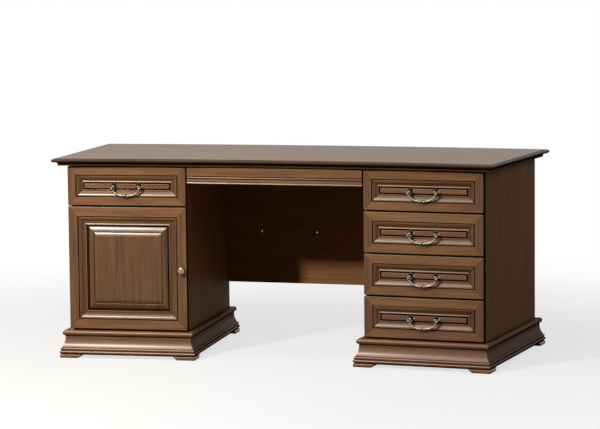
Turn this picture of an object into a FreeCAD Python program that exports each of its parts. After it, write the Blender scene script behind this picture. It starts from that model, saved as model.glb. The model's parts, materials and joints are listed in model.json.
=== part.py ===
import FreeCAD
import Part
import math
import os
from types import SimpleNamespace

# A twin-pedestal computer desk on an arc plan. The left pedestal holds a drawer over a cupboard,
# the right one four drawers, and a keyboard tray slides out of the kneehole between them.
# Millimetres, +Z up, front towards -Y, origin on the floor below the middle of the desk.

# Driving dimensions.
sizes_mm = {
    # Overall plan. Each pedestal is turned by the splay so that its front faces the user.
    "desk_height": 760,
    "knee_width": 687,
    "splay": 4.6,
    "ped_width": 462,
    "ped_depth": 684,
    # Desktop and its moulded edge.
    "top_thick": 28,
    "side_overhang": 50,
    "front_overhang": 43,
    "back_overhang": 29,
    "front_bow": 58,
    "back_bow": 50,
    "nose_radius": 6.5,
    "nose_drop": 1.5,
    "quirk_inset": 11,
    "cove_start": 1,
    "cove_inset": 21,
    "cove_sag": 3,
    "top_fillet": 2,
    # Plinth and feet.
    "plinth_height": 104,
    "plinth_reach": 34,
    "plinth_seat": 28,
    "plinth_nose": 23,
    "plinth_nose_round": 6,
    "plinth_nose_height": 20,
    "plinth_cove_in": 14.5,
    "plinth_cove_out": 25,
    "plinth_cove_height": 41,
    "plinth_cove_sag": 3.4,
    "plinth_quirk": 2,
    "plinth_bead_out": 30,
    "plinth_bead_height": 9,
    "plinth_torus_in": 29.5,
    "plinth_torus_height": 11.5,
    "foot_height": 13.4,
    "foot_length": 87,
    "foot_slant": 17,
    "foot_setback": 0.5,
    # Carcass boards.
    "board_thick": 18,
    "back_thick": 9,
    "rail_depth": 80,
    "shelf_height": 340,
    "shelf_setback": 20,
    "shelf_clear": 1,
    "shelf_pin_radius": 2.5,
    "shelf_pin_out": 10,
    "shelf_pin_in": 8,
    "shelf_pin_inset": 60,
    # Fronts: a mitred moulded frame round a raised panel.
    "front_thick": 22,
    "front_gap": 2,
    "reveal": 6,
    "side_reveal": 1,
    "top_reveal": 4.5,
    "upper_front_trim": 4.5,
    "drawer_moulding": 28,
    "drawer_opening": 28,
    "door_flat": 36,
    "door_moulding": 33,
    "edge_round": 2,
    "groove_width": 3,
    "groove_depth": 2.5,
    "bead_width": 7,
    "bead_drop": 1,
    "cove_top": 3,
    "cove_floor": 8.5,
    "cove_hollow": 1.5,
    "lip_width": 5,
    "lip_height": 2.2,
    "tongue_depth": 8,
    "tongue_thick": 6,
    "tongue_back": 3,
    "tongue_clear": 0.5,
    "panel_field": 5,
    "drawer_margin": 1.5,
    "drawer_bevel": 7,
    "door_margin": 7.5,
    "door_roll": 19.5,
    "door_roll_depth": 4.5,
    "door_step": 2.5,
    "door_bevel": 12,
    # Drawer boxes on hardwood side runners.
    "box_lift": 18,
    "box_top_gap": 21,
    "box_depth": 600,
    "box_board": 15,
    "box_floor": 6,
    "box_side_gap": 2,
    "slot_depth": 8,
    "runner_height": 14,
    "runner_rise": 55,
    "runner_clear": 0.3,
    "runner_side_clear": 0.5,
    "runner_end_gap": 3,
    # Bail pulls.
    "pull_spacing": 96,
    "rosette_radius": 13,
    "rosette_thick": 2.5,
    "dome_radius": 6,
    "dome_height": 4,
    "post_radius": 4,
    "post_reach": 16,
    "ball_radius": 4.5,
    "pin_radius": 2,
    "pin_clear": 0.05,
    "bail_radius": 3,
    "bail_gap": 0.5,
    "bail_shoulder": 4,
    "bail_waist": -2,
    "bail_waist_drop": 22,
    "bail_drop": 35.5,
    "bail_floor": 36,
    "bail_swell": 4.5,
    "bail_swell_length": 24,
    # Door knob and knife hinges.
    "knob_inset": 18,
    "knob_rise": 229,
    "knob_radius": 14,
    "knob_thick": 8,
    "knob_stem_radius": 5,
    "knob_stem": 12,
    "knob_base_radius": 9,
    "knob_base": 2,
    "hinge_inset": 5,
    "hinge_pin_radius": 2.5,
    "hinge_pin_length": 12,
    "hinge_plate_thick": 2.4,
    "hinge_plate_width": 14,
    "hinge_plate_let": 36,
    "hinge_plate_nose": 6,
    # Modesty panel.
    "modesty_rise": 210.5,
    "modesty_setback": 2,
    "screw_spacing": 229.6,
    "screw_offset": 138,
    "screw_drop": 313.5,
    "screw_head_radius": 5,
    "screw_head": 2.5,
    "screw_radius": 2.25,
    "screw_bite": 12,
    # Screws that hold the desktop to the rails.
    "top_screw_spacing": 240,
    # Keyboard tray on side channels.
    "tray_side_gap": 4,
    "fascia_height": 61,
    "fascia_thick": 20,
    "fascia_band": 10,
    "fascia_bead": 5.5,
    "tray_half": 280,
    "tray_depth": 380,
    "tray_thick": 16,
    "tray_rise": 5.5,
    "slide_thick": 10,
    "slide_height": 12,
    "slide_clear": 0.5,
    "channel_wall": 1.5,
    "channel_depth": 9,
    "hanger_thick": 22,
    "hanger_setback": 40,
    "hanger_drop": 60,
}

# Counts and angles that are not lengths.
right_drawer_count = 4
door_bay_fronts = 3
right_angle = 90
half_turn = 180

doc = FreeCAD.newDocument("desk")
sheet = doc.addObject("Spreadsheet::Sheet", "sizes")
for row, (name, value) in enumerate(sizes_mm.items(), start=1):
    sheet.set(f"A{row}", name)
    sheet.set(f"B{row}", str(value))
    sheet.setAlias(f"B{row}", name)
doc.recompute()


# A size is a number together with the sheet formula that gives it.
class Size:
    def __init__(self, value, formula):
        self.value = value
        self.formula = formula

    def __float__(self):
        return float(self.value)

    def __add__(self, other):
        return combine(self, "+", other, self.value + float(other))

    def __radd__(self, other):
        return combine(other, "+", self, float(other) + self.value)

    def __sub__(self, other):
        return combine(self, "-", other, self.value - float(other))

    def __rsub__(self, other):
        return combine(other, "-", self, float(other) - self.value)

    def __mul__(self, other):
        return combine(self, "*", other, self.value * float(other))

    def __rmul__(self, other):
        return combine(other, "*", self, float(other) * self.value)

    def __truediv__(self, other):
        return combine(self, "/", other, self.value / float(other))

    def __neg__(self):
        return combine(0, "-", self, -self.value)


def formula_of(term):
    return term.formula if isinstance(term, Size) else str(term)


def combine(left, sign, right, value):
    return Size(value, f"({formula_of(left)} {sign} {formula_of(right)})")


def sheet_size(name):
    return Size(float(sheet.get(name)), f"sizes.{name}")


s = SimpleNamespace(**{name: sheet_size(name) for name in sizes_mm})
splay = math.radians(float(s.splay))
splay_cos = Size(math.cos(splay), "cos(sizes.splay * 1 deg)")
splay_sin = Size(math.sin(splay), "sin(sizes.splay * 1 deg)")
splay_tan = Size(math.tan(splay), "tan(sizes.splay * 1 deg)")


# Small helpers: places, document objects and profile faces.
def vector(x, y, z):
    return FreeCAD.Vector(float(x), float(y), float(z))


def shift(x, y, z):
    return FreeCAD.Placement(vector(x, y, z), FreeCAD.Rotation())


def turn(axis, degrees):
    return FreeCAD.Placement(FreeCAD.Vector(), FreeCAD.Rotation(axis, float(degrees)))


x_axis = FreeCAD.Vector(1, 0, 0)
y_axis = FreeCAD.Vector(0, 1, 0)
z_axis = FreeCAD.Vector(0, 0, 1)
nodes = []


def keep(piece):
    nodes.append(piece)
    return piece


def primitive(kind, label, place, **dimensions):
    piece = doc.addObject(f"Part::{kind}", label)
    for name, size in dimensions.items():
        piece.setExpression(name, formula_of(size))
    piece.Placement = place
    return piece


def board(label, place, corner, length, width, height):
    return primitive("Box", label, place * shift(*corner), Length=length, Width=width, Height=height)


def rod(label, place, radius, length):
    return primitive("Cylinder", label, place, Radius=radius, Height=length)


def group(label, pieces):
    compound = doc.addObject("Part::Compound", label)
    compound.Links = pieces
    return compound


def fuse(label, pieces):
    union = doc.addObject("Part::MultiFuse", label)
    union.Shapes = pieces
    return union


def cut(label, base, tools):
    result = doc.addObject("Part::Cut", label)
    result.Base = base
    result.Tool = tools[0] if len(tools) == 1 else group(f"{label}_cutters", tools)
    return result


def shaped(label, shape, place):
    piece = doc.addObject("Part::Feature", label)
    piece.Shape = shape
    piece.Placement = place
    return piece


# An outline is a start point, then points for straight runs and (middle, end) pairs for arcs.
def profile_face(outline, to_space):
    edges = []
    start = outline[0]
    for step in outline[1:] + outline[:1]:
        if isinstance(step[0], tuple):
            middle, end = step
            edges.append(Part.Arc(to_space(start), to_space(middle), to_space(end)).toShape())
        else:
            end = step
            edges.append(Part.makeLine(to_space(start), to_space(end)))
        start = end
    return Part.Face(Part.Wire(edges))


# The middle of an arc over a chord, bulging to the left of the way from start to end.
def arc_middle(start, end, sag):
    across = (float(end[0]) - float(start[0]), float(end[1]) - float(start[1]))
    chord = math.hypot(*across)
    middle = ((float(start[0]) + float(end[0])) / 2, (float(start[1]) + float(end[1])) / 2)
    return (middle[0] - across[1] / chord * float(sag), middle[1] + across[0] / chord * float(sag))


# Four mitred members of one profile round a rectangle. The rectangle lies in XZ, the profile's
# first coordinate runs inwards from the outer edge and its second one along Y.
def mitred_ring(outline, member, thick, width, height):
    def mitred_rail(length):
        face = profile_face(outline, lambda point: vector(0, point[1], point[0]))
        bar = face.extrude(vector(length, 0, 0))
        corners = [(0, 0), (length, 0), (length - member, member), (member, member)]
        trapezoid = profile_face(corners, lambda point: vector(point[0], 0, point[1]))
        return bar.common(trapezoid.extrude(vector(0, thick, 0)))

    centre = vector(width / 2, 0, height / 2)
    rail = mitred_rail(width)
    stile = mitred_rail(height)
    stile.rotate(FreeCAD.Vector(), y_axis, right_angle)
    stile.translate(vector(0, 0, height))
    members = []
    for piece in (rail, stile):
        opposite = piece.copy()
        opposite.rotate(centre, y_axis, half_turn)
        members += [piece, opposite]
    return members


# Levels and places that several pieces share.
under_top = s.desk_height - s.top_thick
front_base = s.plinth_height + s.reveal
front_zone = under_top - s.top_reveal - front_base
pitch = (front_zone + s.reveal + s.upper_front_trim) / right_drawer_count
front_height = pitch - s.reveal
upper_front_base = front_base + door_bay_fronts * pitch
upper_front_height = front_height - s.upper_front_trim
carcass_front = s.front_thick + s.front_gap
inner_width = s.ped_width - 2 * s.board_thick
inner_back = s.ped_depth - s.back_thick
front_width = s.ped_width - 2 * s.side_reveal
knee_half = s.knee_width / 2

# The plan: the desk is centred on the depth between its front corners and the middle of its back.
corner_out = s.ped_width + s.side_overhang
corner_x_front = knee_half + corner_out * splay_cos - s.front_overhang * splay_sin
corner_y_front = -(corner_out * splay_sin) - s.front_overhang * splay_cos
corner_x_back = knee_half + corner_out * splay_cos + (s.ped_depth + s.back_overhang) * splay_sin
corner_y_back = (s.ped_depth + s.back_overhang) * splay_cos - corner_out * splay_sin
plan_middle = (corner_y_front + corner_y_back + s.back_bow) / 2
desk_place = shift(0, -plan_middle, 0)

# Each pedestal has its own frame: X along its front from left to right, Y from front to back.
left_corner_x = -(knee_half + s.ped_width * splay_cos)
left_corner_y = -(s.ped_width * splay_sin)
left_place = desk_place * shift(left_corner_x, left_corner_y, 0) * turn(z_axis, s.splay)
right_place = desk_place * shift(knee_half, 0, 0) * turn(z_axis, -s.splay)
pedestals = {"left": left_place, "right": right_place}


# Desktop: four edges of one profile, two straight and two turned about the centres of the arcs.
def build_desktop():
    reach = 2 * corner_x_back
    nose_top = s.desk_height - s.nose_drop
    nose_low = nose_top - 2 * s.nose_radius
    cove_from = (-(s.nose_radius + s.cove_start), nose_low)
    cove_to = (-s.cove_inset, under_top + s.top_fillet)
    outline = [
        (-reach, under_top),
        (-reach, s.desk_height),
        (-s.quirk_inset, s.desk_height),
        (-s.quirk_inset, nose_top),
        (-s.nose_radius, nose_top),
        ((0, nose_top - s.nose_radius), (-s.nose_radius, nose_low)),
        cove_from,
        (arc_middle(cove_from, cove_to, -s.cove_sag), cove_to),
        (-s.cove_inset, under_top),
    ]

    def arc_edge(chord, corner_y, bow, outward):
        radius = (chord * chord + bow * bow) / (2 * bow)
        centre_y = corner_y + bow - radius
        sweep = 2 * math.degrees(math.asin(float(reach / 2) / float(radius)))
        face = profile_face(outline, lambda p: vector(0, centre_y + radius + outward * float(p[0]), p[1]))
        axis_point = vector(0, centre_y, 0)
        face.rotate(axis_point, z_axis, -sweep)
        return face.revolve(axis_point, z_axis, 2 * sweep)

    def straight_edge(side):
        start = vector(side * corner_x_front, corner_y_front, 0)
        end = vector(side * corner_x_back, corner_y_back, 0)
        along = (end - start).normalize()
        outward = FreeCAD.Vector(side * along.y, -side * along.x, 0)
        start = start - along * float(reach)
        face = profile_face(outline, lambda p: start + outward * float(p[0]) + z_axis * float(p[1]))
        return face.extrude(along * float(2 * reach))

    top = arc_edge(corner_x_front, corner_y_front, s.front_bow, -1)
    top = top.common(arc_edge(corner_x_back, corner_y_back, s.back_bow, 1))
    for side in (-1, 1):
        top = top.common(straight_edge(side))
    return top


# Screws that come up through the top rails into the desktop, in a pedestal's own frame.
def top_screw_places():
    rail_middles = (carcass_front + s.rail_depth / 2, inner_back - s.rail_depth / 2)
    places = []
    for pedestal in pedestals.values():
        for depth in rail_middles:
            for side in (-1, 1):
                across = s.ped_width / 2 + side * s.top_screw_spacing / 2
                places.append(pedestal * shift(across, depth, 0))
    return places


def build_top_fixings():
    rail_height = under_top - s.board_thick
    shank_length = s.board_thick + s.screw_bite
    screws = []
    shanks = []
    for index, place in enumerate(top_screw_places()):
        head_place = place * shift(0, 0, rail_height - s.screw_head)
        head = rod(f"top_screw_head_{index}", head_place, s.screw_head_radius, s.screw_head)
        shank_place = place * shift(0, 0, rail_height)
        shank = rod(f"top_screw_shank_{index}", shank_place, s.screw_radius, shank_length)
        screws.append(fuse(f"top_screw_{index}", [head, shank]))
        shanks.append(shank)
    keep(group("top_screws", screws))

    blank = shaped("desktop_blank", build_desktop(), desk_place)
    keep(cut("desktop", blank, shanks))

    rails = []
    for name, place in pedestals.items():
        for end, depth in (("front", carcass_front), ("rear", inner_back - s.rail_depth)):
            corner = (s.board_thick, depth, rail_height)
            label = f"{name}_{end}_rail"
            rail = board(f"{label}_blank", place, corner, inner_width, s.rail_depth, s.board_thick)
            near = [shank for shank in shanks if rail_holds(rail, shank)]
            rails.append(cut(label, rail, near))
    keep(group("top_rails", rails))


def rail_holds(rail, shank):
    local = rail.Placement.inverse().multVec(shank.Placement.Base)
    return 0 < local.x < float(inner_width) and 0 < local.y < float(s.rail_depth)


# Plinth: mitred strips of one profile under the carcass, standing out all round.
def plinth_outline():
    drop = s.plinth_height - s.foot_height
    reach = s.plinth_reach
    nose_in = reach - s.plinth_nose + s.plinth_nose_round
    nose_side = (reach - s.plinth_nose, s.plinth_nose_round)
    nose_low = s.plinth_nose_height
    cove_in = reach - s.plinth_cove_in
    cove_top = nose_low + s.plinth_quirk
    cove_out = reach - s.plinth_cove_out
    cove_low = cove_top + s.plinth_cove_height
    cove_middle = arc_middle((cove_in, cove_top), (cove_out, cove_low), -s.plinth_cove_sag)
    bead_in = cove_out - s.plinth_quirk
    bead_top = cove_low + s.plinth_quirk
    bead_low = bead_top + s.plinth_bead_height
    bead_out = reach - s.plinth_bead_out
    bead_side = (bead_out, bead_top + s.plinth_bead_height / 2)
    bead_foot = bead_out + s.plinth_quirk / 2
    torus_in = reach - s.plinth_torus_in
    torus_top = bead_low + s.plinth_quirk
    torus_low = torus_top + s.plinth_torus_height
    torus_side = (0, torus_top + s.plinth_torus_height / 2)
    return [
        (reach + s.plinth_seat, drop),
        (reach + s.plinth_seat, 0),
        (nose_in, 0),
        (nose_side, (nose_in, nose_low)),
        (cove_in, nose_low),
        (cove_in, cove_top),
        (cove_middle, (cove_out, cove_low)),
        (cove_out, bead_top),
        (bead_in, bead_top),
        (bead_side, (bead_foot, bead_low)),
        (bead_foot, torus_top),
        (torus_in, torus_top),
        (torus_side, (torus_in, torus_low)),
        (torus_in, drop),
    ]


def build_plinth(name, place):
    width = s.ped_width + 2 * s.plinth_reach
    depth = s.ped_depth + 2 * s.plinth_reach
    thick = s.plinth_height - s.foot_height
    member = s.plinth_reach + s.plinth_seat
    strips = mitred_ring(plinth_outline(), member, thick, width, depth)
    lay = shift(-s.plinth_reach, -s.plinth_reach, s.plinth_height) * turn(x_axis, -right_angle)
    keep(shaped(f"{name}_plinth", Part.makeCompound(strips), place * lay))


# Feet: pads under the plinth's corners, slanted at their inner ends.
def build_feet():
    top = s.foot_length
    low = s.foot_length - s.foot_slant
    edge = s.plinth_reach - s.foot_setback
    feet = []
    for name, place in pedestals.items():
        right = s.ped_width + edge
        rear = s.ped_depth + edge
        corners = [(-edge, rear, 0), (-edge, -edge, 1), (right, -edge, 2), (right, rear, 3)]
        for x, y, quarter in corners:
            stand = place * shift(x, y, 0) * turn(z_axis, quarter * right_angle) * turn(x_axis, right_angle)
            foot = primitive("Wedge", f"{name}_foot_{quarter}", stand, Xmin=0, Ymin=0, Zmin=0,
                             X2min=0, Z2min=0, Xmax=low, Ymax=s.foot_height, Zmax=low,
                             X2max=top, Z2max=top)
            feet.append(foot)
    keep(group("feet", feet))


# Knife hinges at the door's outer edge: a plate let into the side's front edge and a pin.
hinge_x = s.side_reveal + s.hinge_inset
hinge_y = s.front_thick / 2
door_height = upper_front_base - s.reveal - front_base
door_top = front_base + door_height
upper_plate_base = door_top + (s.reveal - s.hinge_plate_thick) / 2


def hinge_plate(label, base):
    corner = (s.side_reveal, s.hinge_plate_nose, base)
    length = carcass_front + s.hinge_plate_let - s.hinge_plate_nose
    return board(label, left_place, corner, s.hinge_plate_width, length, s.hinge_plate_thick)


def build_hinges():
    lower = hinge_plate("lower_hinge_leaf", s.plinth_height)
    upper = hinge_plate("upper_hinge_leaf", upper_plate_base)
    lower_face = s.plinth_height + s.hinge_plate_thick
    lower_pin_length = front_base - lower_face + s.hinge_pin_length
    upper_pin_length = upper_plate_base - door_top + s.hinge_pin_length
    lower_pin = rod("lower_hinge_pin", left_place * shift(hinge_x, hinge_y, lower_face),
                    s.hinge_pin_radius, lower_pin_length)
    upper_pin = rod("upper_hinge_pin", left_place * shift(hinge_x, hinge_y, door_top - s.hinge_pin_length),
                    s.hinge_pin_radius, upper_pin_length)
    lower_hinge = fuse("lower_hinge", [lower, lower_pin])
    upper_hinge = fuse("upper_hinge", [upper, upper_pin])
    keep(group("left_hinge_plates", [lower_hinge, upper_hinge]))
    return [lower, upper]


# Shelf pins lie in blind holes in the two sides of the left pedestal.
def build_shelf():
    depth = inner_back - carcass_front - 2 * s.shelf_setback
    corner = (s.board_thick + s.shelf_clear, carcass_front + s.shelf_setback, s.shelf_height)
    keep(board("left_shelf", left_place, corner, inner_width - 2 * s.shelf_clear, depth, s.board_thick))
    length = s.shelf_pin_in + s.shelf_pin_out
    across = {"outer": s.board_thick - s.shelf_pin_in,
              "inner": s.ped_width - s.board_thick - s.shelf_pin_out}
    rows = {"front": carcass_front + s.shelf_pin_inset, "rear": inner_back - s.shelf_pin_inset}
    pins = {}
    for side, x in across.items():
        pins[side] = []
        for end, y in rows.items():
            place = left_place * shift(x, y, s.shelf_height - s.shelf_pin_radius) * turn(y_axis, right_angle)
            pins[side].append(rod(f"{side}_{end}_shelf_pin", place, s.shelf_pin_radius, length))
    keep(group("left_shelf_pins", pins["outer"] + pins["inner"]))
    return pins


# Carcass: sides on the plinth, a bottom and a back between them.
def build_carcass(name, place, side_cutters):
    wall = s.board_thick
    side_depth = s.ped_depth - carcass_front
    side_height = under_top - s.plinth_height
    far = s.ped_width - wall
    order = {"left": ("outer", "inner"), "right": ("inner", "outer")}[name]
    for side, x in zip(order, (0 * wall, far)):
        label = f"{name}_{side}_side"
        cutters = side_cutters.get(side, [])
        blank_label = f"{label}_blank" if cutters else label
        corner = (x, carcass_front, s.plinth_height)
        piece = board(blank_label, place, corner, wall, side_depth, side_height)
        keep(cut(label, piece, cutters) if cutters else piece)
    corner = (wall, carcass_front, s.plinth_height)
    keep(board(f"{name}_bottom", place, corner, inner_width, inner_back - carcass_front, wall))
    corner = (wall, inner_back, s.plinth_height)
    keep(board(f"{name}_back", place, corner, inner_width, s.back_thick, side_height))
    build_plinth(name, place)


def build_divider():
    middle = door_top + s.reveal / 2
    corner = (s.board_thick, carcass_front, middle - s.board_thick / 2)
    keep(board("left_divider", left_place, corner, inner_width, inner_back - carcass_front, s.board_thick))


# Front frames: flat, groove, bead, cove and lip, with a groove for the panel's tongue.
def frame_outline(flat, moulding):
    thick = s.front_thick
    ease = s.edge_round
    member = flat + moulding
    bead_from = (flat + s.groove_width, s.bead_drop)
    bead_to = (bead_from[0] + s.bead_width, s.bead_drop)
    cove_from = (bead_to[0], s.cove_top)
    cove_to = (member - s.lip_width, s.cove_floor)
    lip_to = (member, s.cove_floor)
    tongue_rear = thick - s.tongue_back
    tongue_front = tongue_rear - s.tongue_thick
    socket = member - s.tongue_depth
    ease_sag = ease * (math.sqrt(2) - 1) / 2
    return [
        (0, thick),
        (0, ease),
        (arc_middle((0, ease), (ease, 0), -ease_sag), (ease, 0)),
        (flat, 0),
        (flat + s.groove_width / 2, s.groove_depth),
        bead_from,
        (arc_middle(bead_from, bead_to, -s.bead_drop), bead_to),
        cove_from,
        (arc_middle(cove_from, cove_to, s.cove_hollow), cove_to),
        (arc_middle(cove_to, lip_to, -s.lip_height), lip_to),
        (member, tongue_front),
        (socket, tongue_front),
        (socket, tongue_rear),
        (member, tongue_rear),
        (member, thick),
    ]


def build_frame(label, place, width, height, flat, moulding, holes=()):
    outline = frame_outline(flat, moulding)
    members = mitred_ring(outline, flat + moulding, s.front_thick, width, height)
    for hole in holes:
        members = [piece.cut(hole) for piece in members]
    keep(shaped(label, Part.makeCompound(members), place))


# Raised panels: a tongue slab and bevelled steps, each (inset at its foot, inset at its crown, depths).
def build_panel(label, place, width, height, member, steps):
    tongue_front = s.front_thick - s.tongue_back - s.tongue_thick
    inset = member - s.tongue_depth + s.tongue_clear
    slab = board(f"{label}_slab", place, (inset, tongue_front, inset),
                 width - 2 * inset, s.tongue_thick, height - 2 * inset)
    pieces = [slab]
    for index, (foot, crown, rear, front) in enumerate(steps):
        low = member + foot
        high = member + crown
        pieces.append(primitive("Wedge", f"{label}_step_{index}", place,
                                Xmin=high, Xmax=width - high, Zmin=high, Zmax=height - high,
                                X2min=low, X2max=width - low, Z2min=low, Z2max=height - low,
                                Ymin=front, Ymax=rear))
    keep(fuse(label, pieces))


# Bail pulls: a pair of posts on the panel's field and a bail that swings in them.
def build_posts(label, place):
    posts = []
    for name, side in (("left", -1), ("right", 1)):
        stand = place * shift(side * s.pull_spacing / 2, s.panel_field, 0) * turn(x_axis, right_angle)
        dome_place = stand * shift(0, 0, s.rosette_thick)
        ball_place = stand * shift(0, 0, s.post_reach)
        hole_place = ball_place * turn(y_axis, right_angle) * shift(0, 0, -s.ball_radius)
        stem = f"{label}_{name}"
        pieces = [
            rod(f"{stem}_rosette", stand, s.rosette_radius, s.rosette_thick),
            primitive("Cone", f"{stem}_dome", dome_place, Radius1=s.rosette_radius - s.rosette_thick,
                      Radius2=s.dome_radius, Height=s.dome_height),
            rod(f"{stem}_stem", stand, s.post_radius, s.post_reach),
            primitive("Sphere", f"{stem}_ball", ball_place, Radius=s.ball_radius),
        ]
        hole = rod(f"{stem}_hole", hole_place, s.pin_radius + s.pin_clear, 2 * s.ball_radius)
        posts.append(cut(stem, fuse(f"{stem}_blank", pieces), [hole]))
    keep(group(label, posts))


# A path of straight runs joined by tangent arcs at its inner points.
def rounded_path(points, radii):
    edges = []
    start = points[0]
    for before, corner, after, radius in zip(points, points[1:], points[2:], radii):
        to_before = (before - corner).normalize()
        to_after = (after - corner).normalize()
        half = to_before.getAngle(to_after) / 2
        run = radius / math.tan(half)
        bisector = (to_before + to_after).normalize()
        middle = corner + bisector * (radius / math.sin(half) - radius)
        edges.append(Part.makeLine(start, corner + to_before * run))
        edges.append(Part.Arc(corner + to_before * run, middle, corner + to_after * run).toShape())
        start = corner + to_after * run
    edges.append(Part.makeLine(start, points[-1]))
    return Part.Wire(edges)


def bail_shape():
    post = s.pull_spacing / 2
    root = post + s.ball_radius + s.bail_gap
    shoulder = root + s.bail_shoulder
    right_half = [
        vector(root, 0, 0),
        vector(shoulder, 0, 0),
        vector(post + s.bail_waist, 0, -s.bail_waist_drop),
        vector(s.bail_floor / 2, 0, -s.bail_drop),
    ]
    left_half = [FreeCAD.Vector(-p.x, p.y, p.z) for p in reversed(right_half)]
    shoulder_bend = float(s.bail_radius) + float(s.bail_gap)
    waist_bend = float(s.bail_waist_drop) / 2
    floor_bend = float(s.bail_floor)
    bends = [shoulder_bend, waist_bend, floor_bend, floor_bend, waist_bend, shoulder_bend]
    path = rounded_path(right_half + left_half, bends)
    section = Part.Wire(Part.makeCircle(float(s.bail_radius), right_half[0], x_axis))
    tube = path.makePipeShell([section], True, False)
    swell_half = float(s.bail_swell_length) / 2
    core = float(s.bail_radius) / 2
    swell_outline = [(-swell_half, 0), (-swell_half, core), ((0, s.bail_swell), (swell_half, core)),
                     (swell_half, 0)]
    swell = profile_face(swell_outline, lambda p: vector(p[0], 0, float(p[1]) - float(s.bail_drop)))
    swell = swell.revolve(vector(0, 0, -s.bail_drop), x_axis, 2 * half_turn)
    bail = tube.fuse(swell)
    pin_length = root - post + s.ball_radius + s.bail_radius / 2
    for side in (-1, 1):
        inner_end = vector(side * (post - s.ball_radius), 0, 0)
        pin = Part.makeCylinder(float(s.pin_radius), float(pin_length), inner_end, x_axis * side)
        bail = bail.fuse(pin)
    return bail.removeSplitter()


# A drawer: box on side runners, framed front and pull. Its own frame is at its front's lower left.
def build_drawer(name, place, height):
    member = (height - s.drawer_opening) / 2
    flat = member - s.drawer_moulding
    build_frame(f"{name}_front_frame", place, front_width, height, flat, s.drawer_moulding)
    tongue_front = s.front_thick - s.tongue_back - s.tongue_thick
    bevel = (s.drawer_margin, s.drawer_margin + s.drawer_bevel, tongue_front, s.panel_field)
    build_panel(f"{name}_front_panel", place, front_width, height, member, [bevel])

    left = s.board_thick + s.box_side_gap - s.side_reveal
    width = inner_width - 2 * s.box_side_gap
    wall_base = s.box_lift + s.box_floor
    wall_height = height - s.box_top_gap - wall_base
    slot_base = s.box_lift + s.runner_rise - s.runner_clear
    slot_height = s.runner_height + 2 * s.runner_clear
    boards = []
    for side, x, slot_x in (("left", left, left),
                            ("right", left + width - s.box_board, left + width - s.slot_depth)):
        blank = board(f"{name}_{side}_blank", place, (x, s.front_thick, wall_base),
                      s.box_board, s.box_depth, wall_height)
        slot = board(f"{name}_{side}_slot", place, (slot_x, s.front_thick, slot_base),
                     s.slot_depth, s.box_depth, slot_height)
        boards.append(cut(f"{name}_{side}_wall", blank, [slot]))
    for end, y in (("front", s.front_thick), ("rear", s.front_thick + s.box_depth - s.box_board)):
        boards.append(board(f"{name}_{end}_wall", place, (left + s.box_board, y, wall_base),
                            width - 2 * s.box_board, s.box_board, wall_height))
    keep(group(f"{name}_box", boards))
    keep(board(f"{name}_floor", place, (left, s.front_thick, s.box_lift), width, s.box_depth, s.box_floor))

    pull_place = place * shift(front_width / 2, 0, height / 2)
    build_posts(f"{name}_pull_posts", pull_place)
    pivot = pull_place * shift(0, s.panel_field - s.post_reach, 0)
    keep(shaped(f"{name}_bail", bail_shape(), pivot))


# Hardwood runners on the carcass sides, one pair to a drawer.
def drawer_runners(name, place, base):
    z = base + s.box_lift + s.runner_rise
    thick = s.box_side_gap + s.slot_depth - s.runner_side_clear
    y = carcass_front + s.runner_end_gap
    length = inner_back - s.runner_end_gap - y
    places = {"left": s.board_thick, "right": s.ped_width - s.board_thick - thick}
    return [board(f"{name}_{side}_runner", place, (x, y, z), thick, length, s.runner_height)
            for side, x in places.items()]


def build_drawers():
    drawers = [("left_drawer", left_place, upper_front_base, upper_front_height)]
    for index in range(right_drawer_count):
        base = front_base + index * pitch
        is_top = index == right_drawer_count - 1
        height = upper_front_height if is_top else front_height
        drawers.append((f"right_drawer_{right_drawer_count - index}", right_place, base, height))
    runners = []
    for name, place, base, height in drawers:
        build_drawer(name, place * shift(s.side_reveal, 0, base), height)
        runners += drawer_runners(name, place, base)
    keep(group("drawer_runners", runners))


# The cupboard door, with pin holes in its outer stile and a knob on its inner one.
def build_door():
    place = left_place * shift(s.side_reveal, 0, front_base)
    radius = float(s.hinge_pin_radius + s.pin_clear)
    depth = float(s.hinge_pin_length + s.tongue_clear)
    axis_at = (s.hinge_inset, hinge_y)
    lower = Part.makeCylinder(radius, depth, vector(*axis_at, 0), z_axis)
    upper = Part.makeCylinder(radius, depth, vector(*axis_at, door_height), z_axis * -1)
    build_frame("door_frame", place, front_width, door_height, s.door_flat, s.door_moulding, [lower, upper])
    tongue_front = s.front_thick - s.tongue_back - s.tongue_thick
    roll_front = tongue_front - s.door_roll_depth
    roll_crown = s.door_margin + s.door_roll
    bevel_foot = roll_crown + s.door_step
    roll = (s.door_margin, roll_crown, tongue_front, roll_front)
    bevel = (bevel_foot, bevel_foot + s.door_bevel, roll_front, s.panel_field)
    member = s.door_flat + s.door_moulding
    build_panel("door_panel", place, front_width, door_height, member, [roll, bevel])

    knob_place = place * shift(front_width - s.knob_inset, 0, s.knob_rise) * turn(x_axis, right_angle)
    head_place = knob_place * shift(0, 0, s.knob_stem + s.knob_thick / 2)
    pieces = [
        rod("knob_base", knob_place, s.knob_base_radius, s.knob_base),
        rod("knob_stem", knob_place, s.knob_stem_radius, s.knob_stem + s.knob_thick / 2),
        primitive("Ellipsoid", "knob_head", head_place, Radius1=s.knob_thick, Radius2=s.knob_radius,
                  Radius3=s.knob_radius),
    ]
    keep(fuse("door_knob", pieces))


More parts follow.
